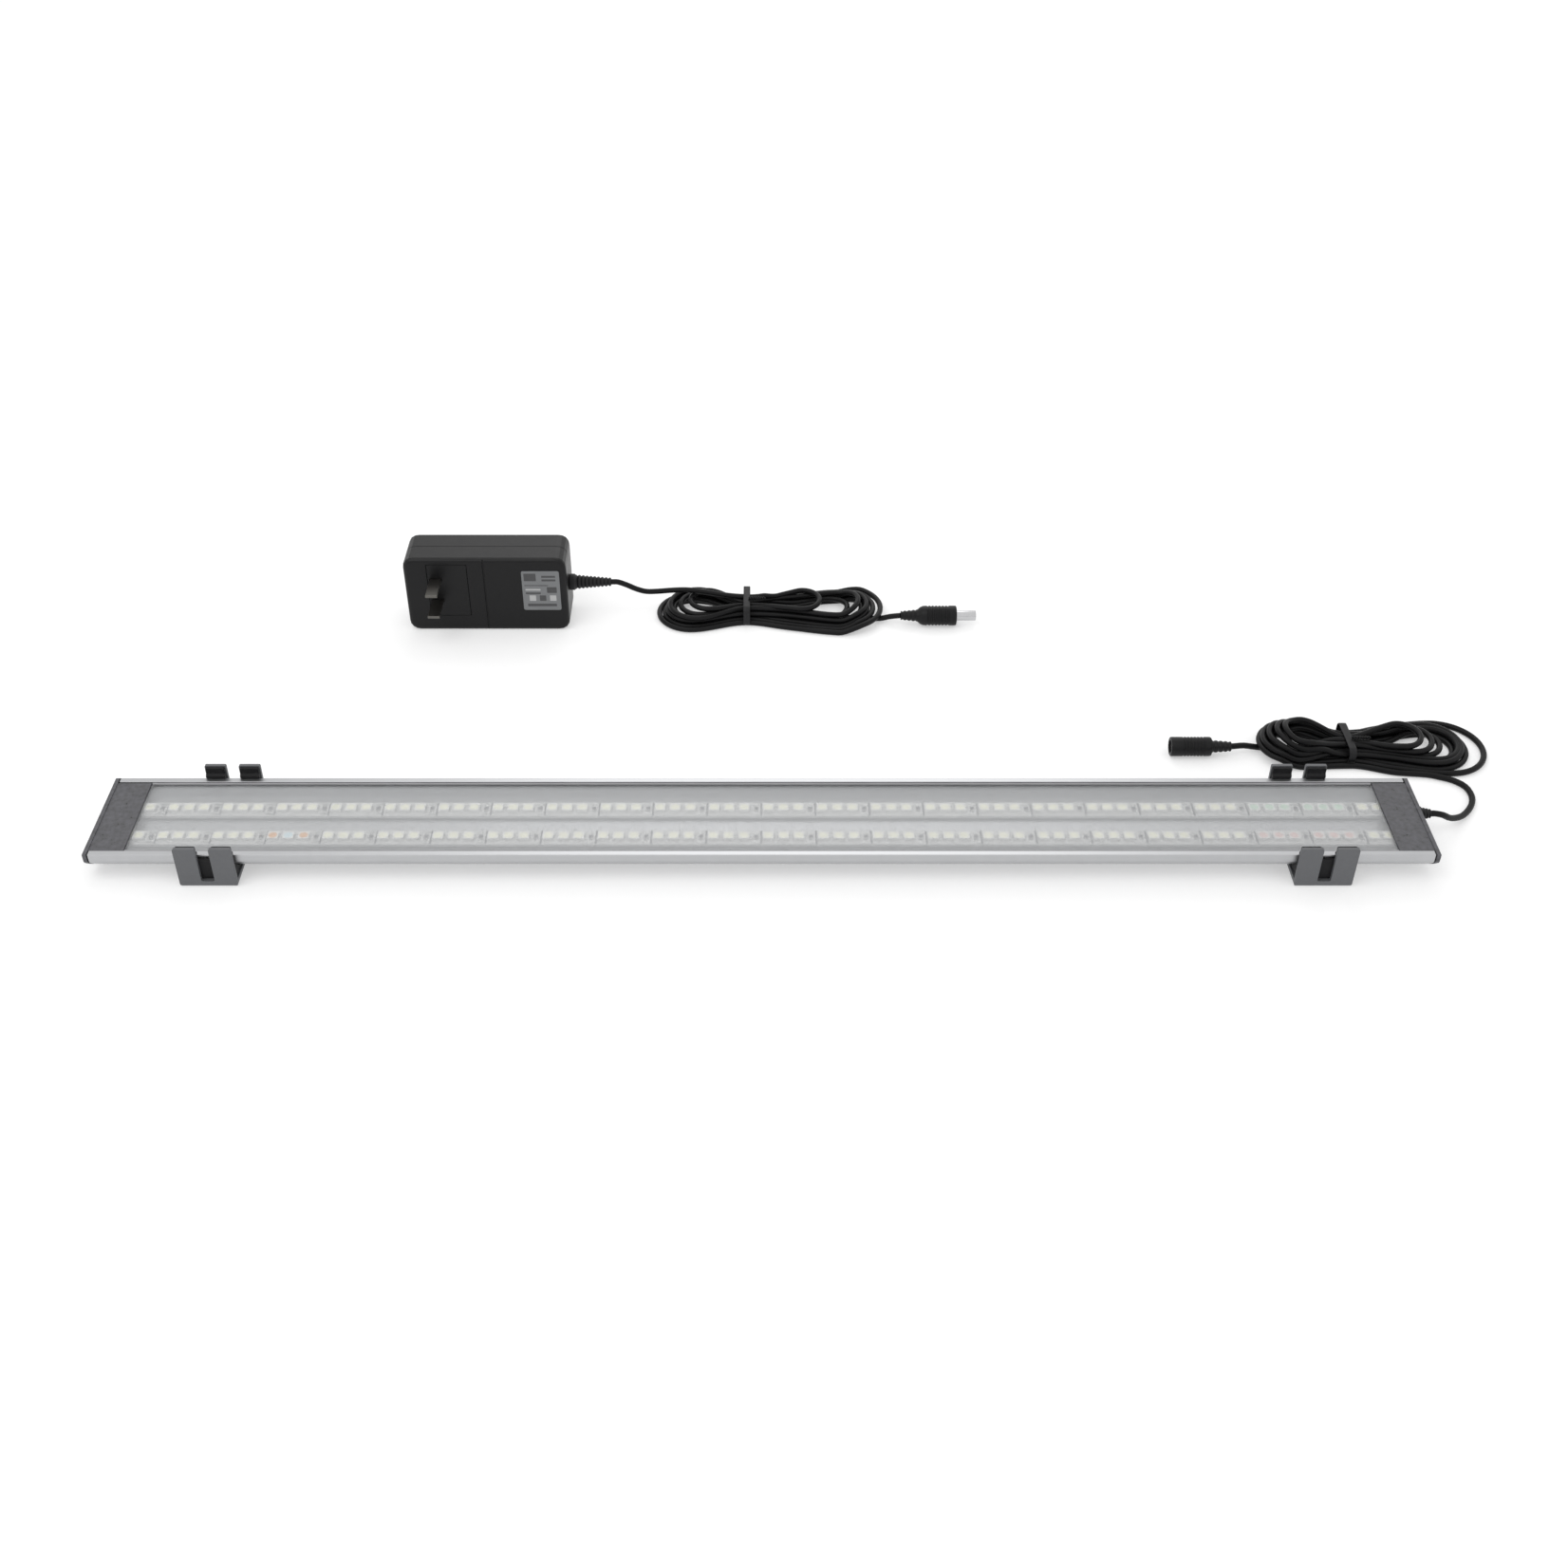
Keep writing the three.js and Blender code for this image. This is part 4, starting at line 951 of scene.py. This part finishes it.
handle = ribbed(75, 84, 2.4, 3.3, 4, 0.4) + [(85.5, 4.6), (87, 5.2)]
handle += grooves(np.arange(89, 100, 1.8), (0, 0.3, 0.9, 1.2), 5.35, 5.0)
handle += rounded_end(105, 5.35, 0.8)
plug = turned_piece("plug_grip", handle, PLUG_AXIS, "connector_shell", "plug_handle")
barrel = [(105.1, 2.75), (115.0, 2.75), (115.4, 2.6), (115.5, 2.4), (115.4, 2.2), (105.1, 2.15)]
tube = turned_piece("plug_sleeve", barrel, PLUG_AXIS, "contact_steel", "plug_barrel", through=True)
shell = [(210, 0.1), (210, 3.2), (200.2, 3.2), (200, 3.4), (200, 4.35), (200.15, 4.6)]
shell += [(200.5, 4.75)] + grooves(np.arange(206, 216, 1.6), (0, 0.25, 0.7, 0.95), 4.75, 4.5)
shell += [(219.2, 4.75), (219.8, 4.5), (220, 4.1)]
shell += ribbed(220.1, 229.6, 3.2, 2.45, 4, 0.4) + [(230, 1.8)]
socket = turned_piece("socket_grip", shell, SOCKET_AXIS, "connector_shell", "socket_shell")
print("faces", [len(made.data.polygons) for made in (plug, tube, socket)])

# %% [markdown]
# ## Adapter label
# A rating label is a thin film with rounded corners. It carries blank printed blocks and
# rules only, no letters. Each block is a film of ink that stands a hundredth of a
# millimetre proud, so that the label needs no picture.

# %% Adapter label
LABEL_X, LABEL_Z, LABEL_FRONT = -116.8, 25.0, 177.72  # mm, middle of the label
FILM, INK = 0.2, 0.03  # mm thick
ink = finish("label_ink", (0.05, 0.05, 0.052), 0.5, 900, 0.2, 0.01, 0.0)
pale_ink = finish("label_pale_ink", (0.4, 0.4, 0.4), 0.5, 900, 0.1, 0.01, 0.0)
# x and z from the label's middle, width and height in mm, and 1 for dark or 2 for pale ink
INK_BLOCKS = [
    (-5.6, 8.2, 6.4, 4.6, 1),
    (4.2, 8.6, 7.4, 1.2, 1),
    (4.2, 6.4, 7.4, 1.2, 1),
    (-2.5, 3.2, 12.6, 0.5, 1),
    (5.6, 0.4, 5.2, 3.6, 1),
    (-4.4, 0.6, 8.0, 1.0, 2),
    (-4.4, -1.6, 8.0, 1.0, 1),
    (-4.8, -4.6, 3.4, 3.4, 2),
    (0.6, -4.6, 3.4, 3.4, 1),
    (6.0, -4.6, 3.4, 3.4, 2),
    (0, -8.9, 15.4, 1.6, 1),
]
film_middle = (LABEL_X, LABEL_FRONT + FILM / 2, LABEL_Z)
label_solids = [(block(film_middle, (20, 24, FILM), 1.0, 0.04, "y"), 0)]
for x, z, wide, high, tone in INK_BLOCKS:
    place = (LABEL_X + x, LABEL_FRONT - 0.004, LABEL_Z + z)
    label_solids.append((block(place, (wide, high, INK), 0.2, 0.005, "y", 1, 1), tone))
label = piece("rating_label", label_solids, "light", ("adapter_label",))
for label_finish in (FINISHES["adapter_label"], ink, pale_ink):
    label.data.materials.append(label_finish)
print("label", len(label.data.polygons), "faces")

# %% [markdown]
# ## Ties
# A flat plastic band holds each hank at its waist, and its two ends are twisted together on
# top. The band is a small flat section carried round a rounded rectangle, and the twist is
# two thin strands that wind about each other.


# %% Ties
BAND_HALF = 12.5  # mm, half the width of a hank's waist with its band
LEAD_BAND_TOP, ADAPTER_BAND_TOP = 9.3, 11.6  # mm above the table
STRAND, WINDING = 0.48, 0.5  # mm, radii of a strand and of its winding


def band(x, middle, half, top, width=3.6, thick=0.7):
    """A flat section with rounded edges, carried round the waist of a hank."""
    path = rounded_rectangle((2 * half, top - thick), 3.2, 0, 6)
    path = path + np.array([middle, top / 2])
    ahead = np.roll(path, -1, axis=0) - np.roll(path, 1, axis=0)
    ahead /= np.linalg.norm(ahead, axis=1)[:, None]
    out = np.stack([ahead[:, 1], -ahead[:, 0]], 1)
    section = rounded_rectangle((width, thick), thick * 0.45, 0, 2)
    across, thickness = section[:, 0], section[:, 1]
    flat = path[:, None, :] + out[:, None, :] * thickness[None, :, None]
    xs = np.broadcast_to(x + across, flat.shape[:2])
    return looped(np.concatenate([xs[:, :, None], flat], axis=2))


def twist(x, y, z, length=9.0, turns=3.5):
    """Two strands that wind about a common line, which lies along the hank."""
    t = np.linspace(0, 1, 60)
    solids = []
    for start in (0, np.pi):
        turn = start + t * turns * 2 * np.pi
        sway, rise = WINDING * np.cos(turn), WINDING * np.sin(turn)
        centre = np.stack([x + t * length, y + sway, z + rise], 1)
        ring = np.linspace(0, 2 * np.pi, 8, endpoint=False)
        offsets = np.stack([0 * ring, np.cos(ring), np.sin(ring)], 1) * STRAND
        solids.append((capped(centre[:, None, :] + offsets), 0))
    return solids


for name, hank, top, node in (
    ("lead_band", lead_hank, LEAD_BAND_TOP, "lead_tie"),
    ("adapter_band", adapter_hank, ADAPTER_BAND_TOP, "adapter_tie"),
):
    x, middle = hank["waist"], hank["middle"]
    solids = [(band(x, middle, BAND_HALF, top), 0)] + twist(x + 1, middle - 3, top + 0.7)
    made = piece(name, solids, "light", (node,))
    made.data.materials.append(FINISHES["cord_boot"])
    print(name, len(made.data.polygons), "faces")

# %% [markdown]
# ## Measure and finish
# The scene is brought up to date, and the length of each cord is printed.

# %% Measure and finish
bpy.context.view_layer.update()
print("lead", round(lead_length, 3), "m, adapter cord", round(adapter_length, 3), "m")
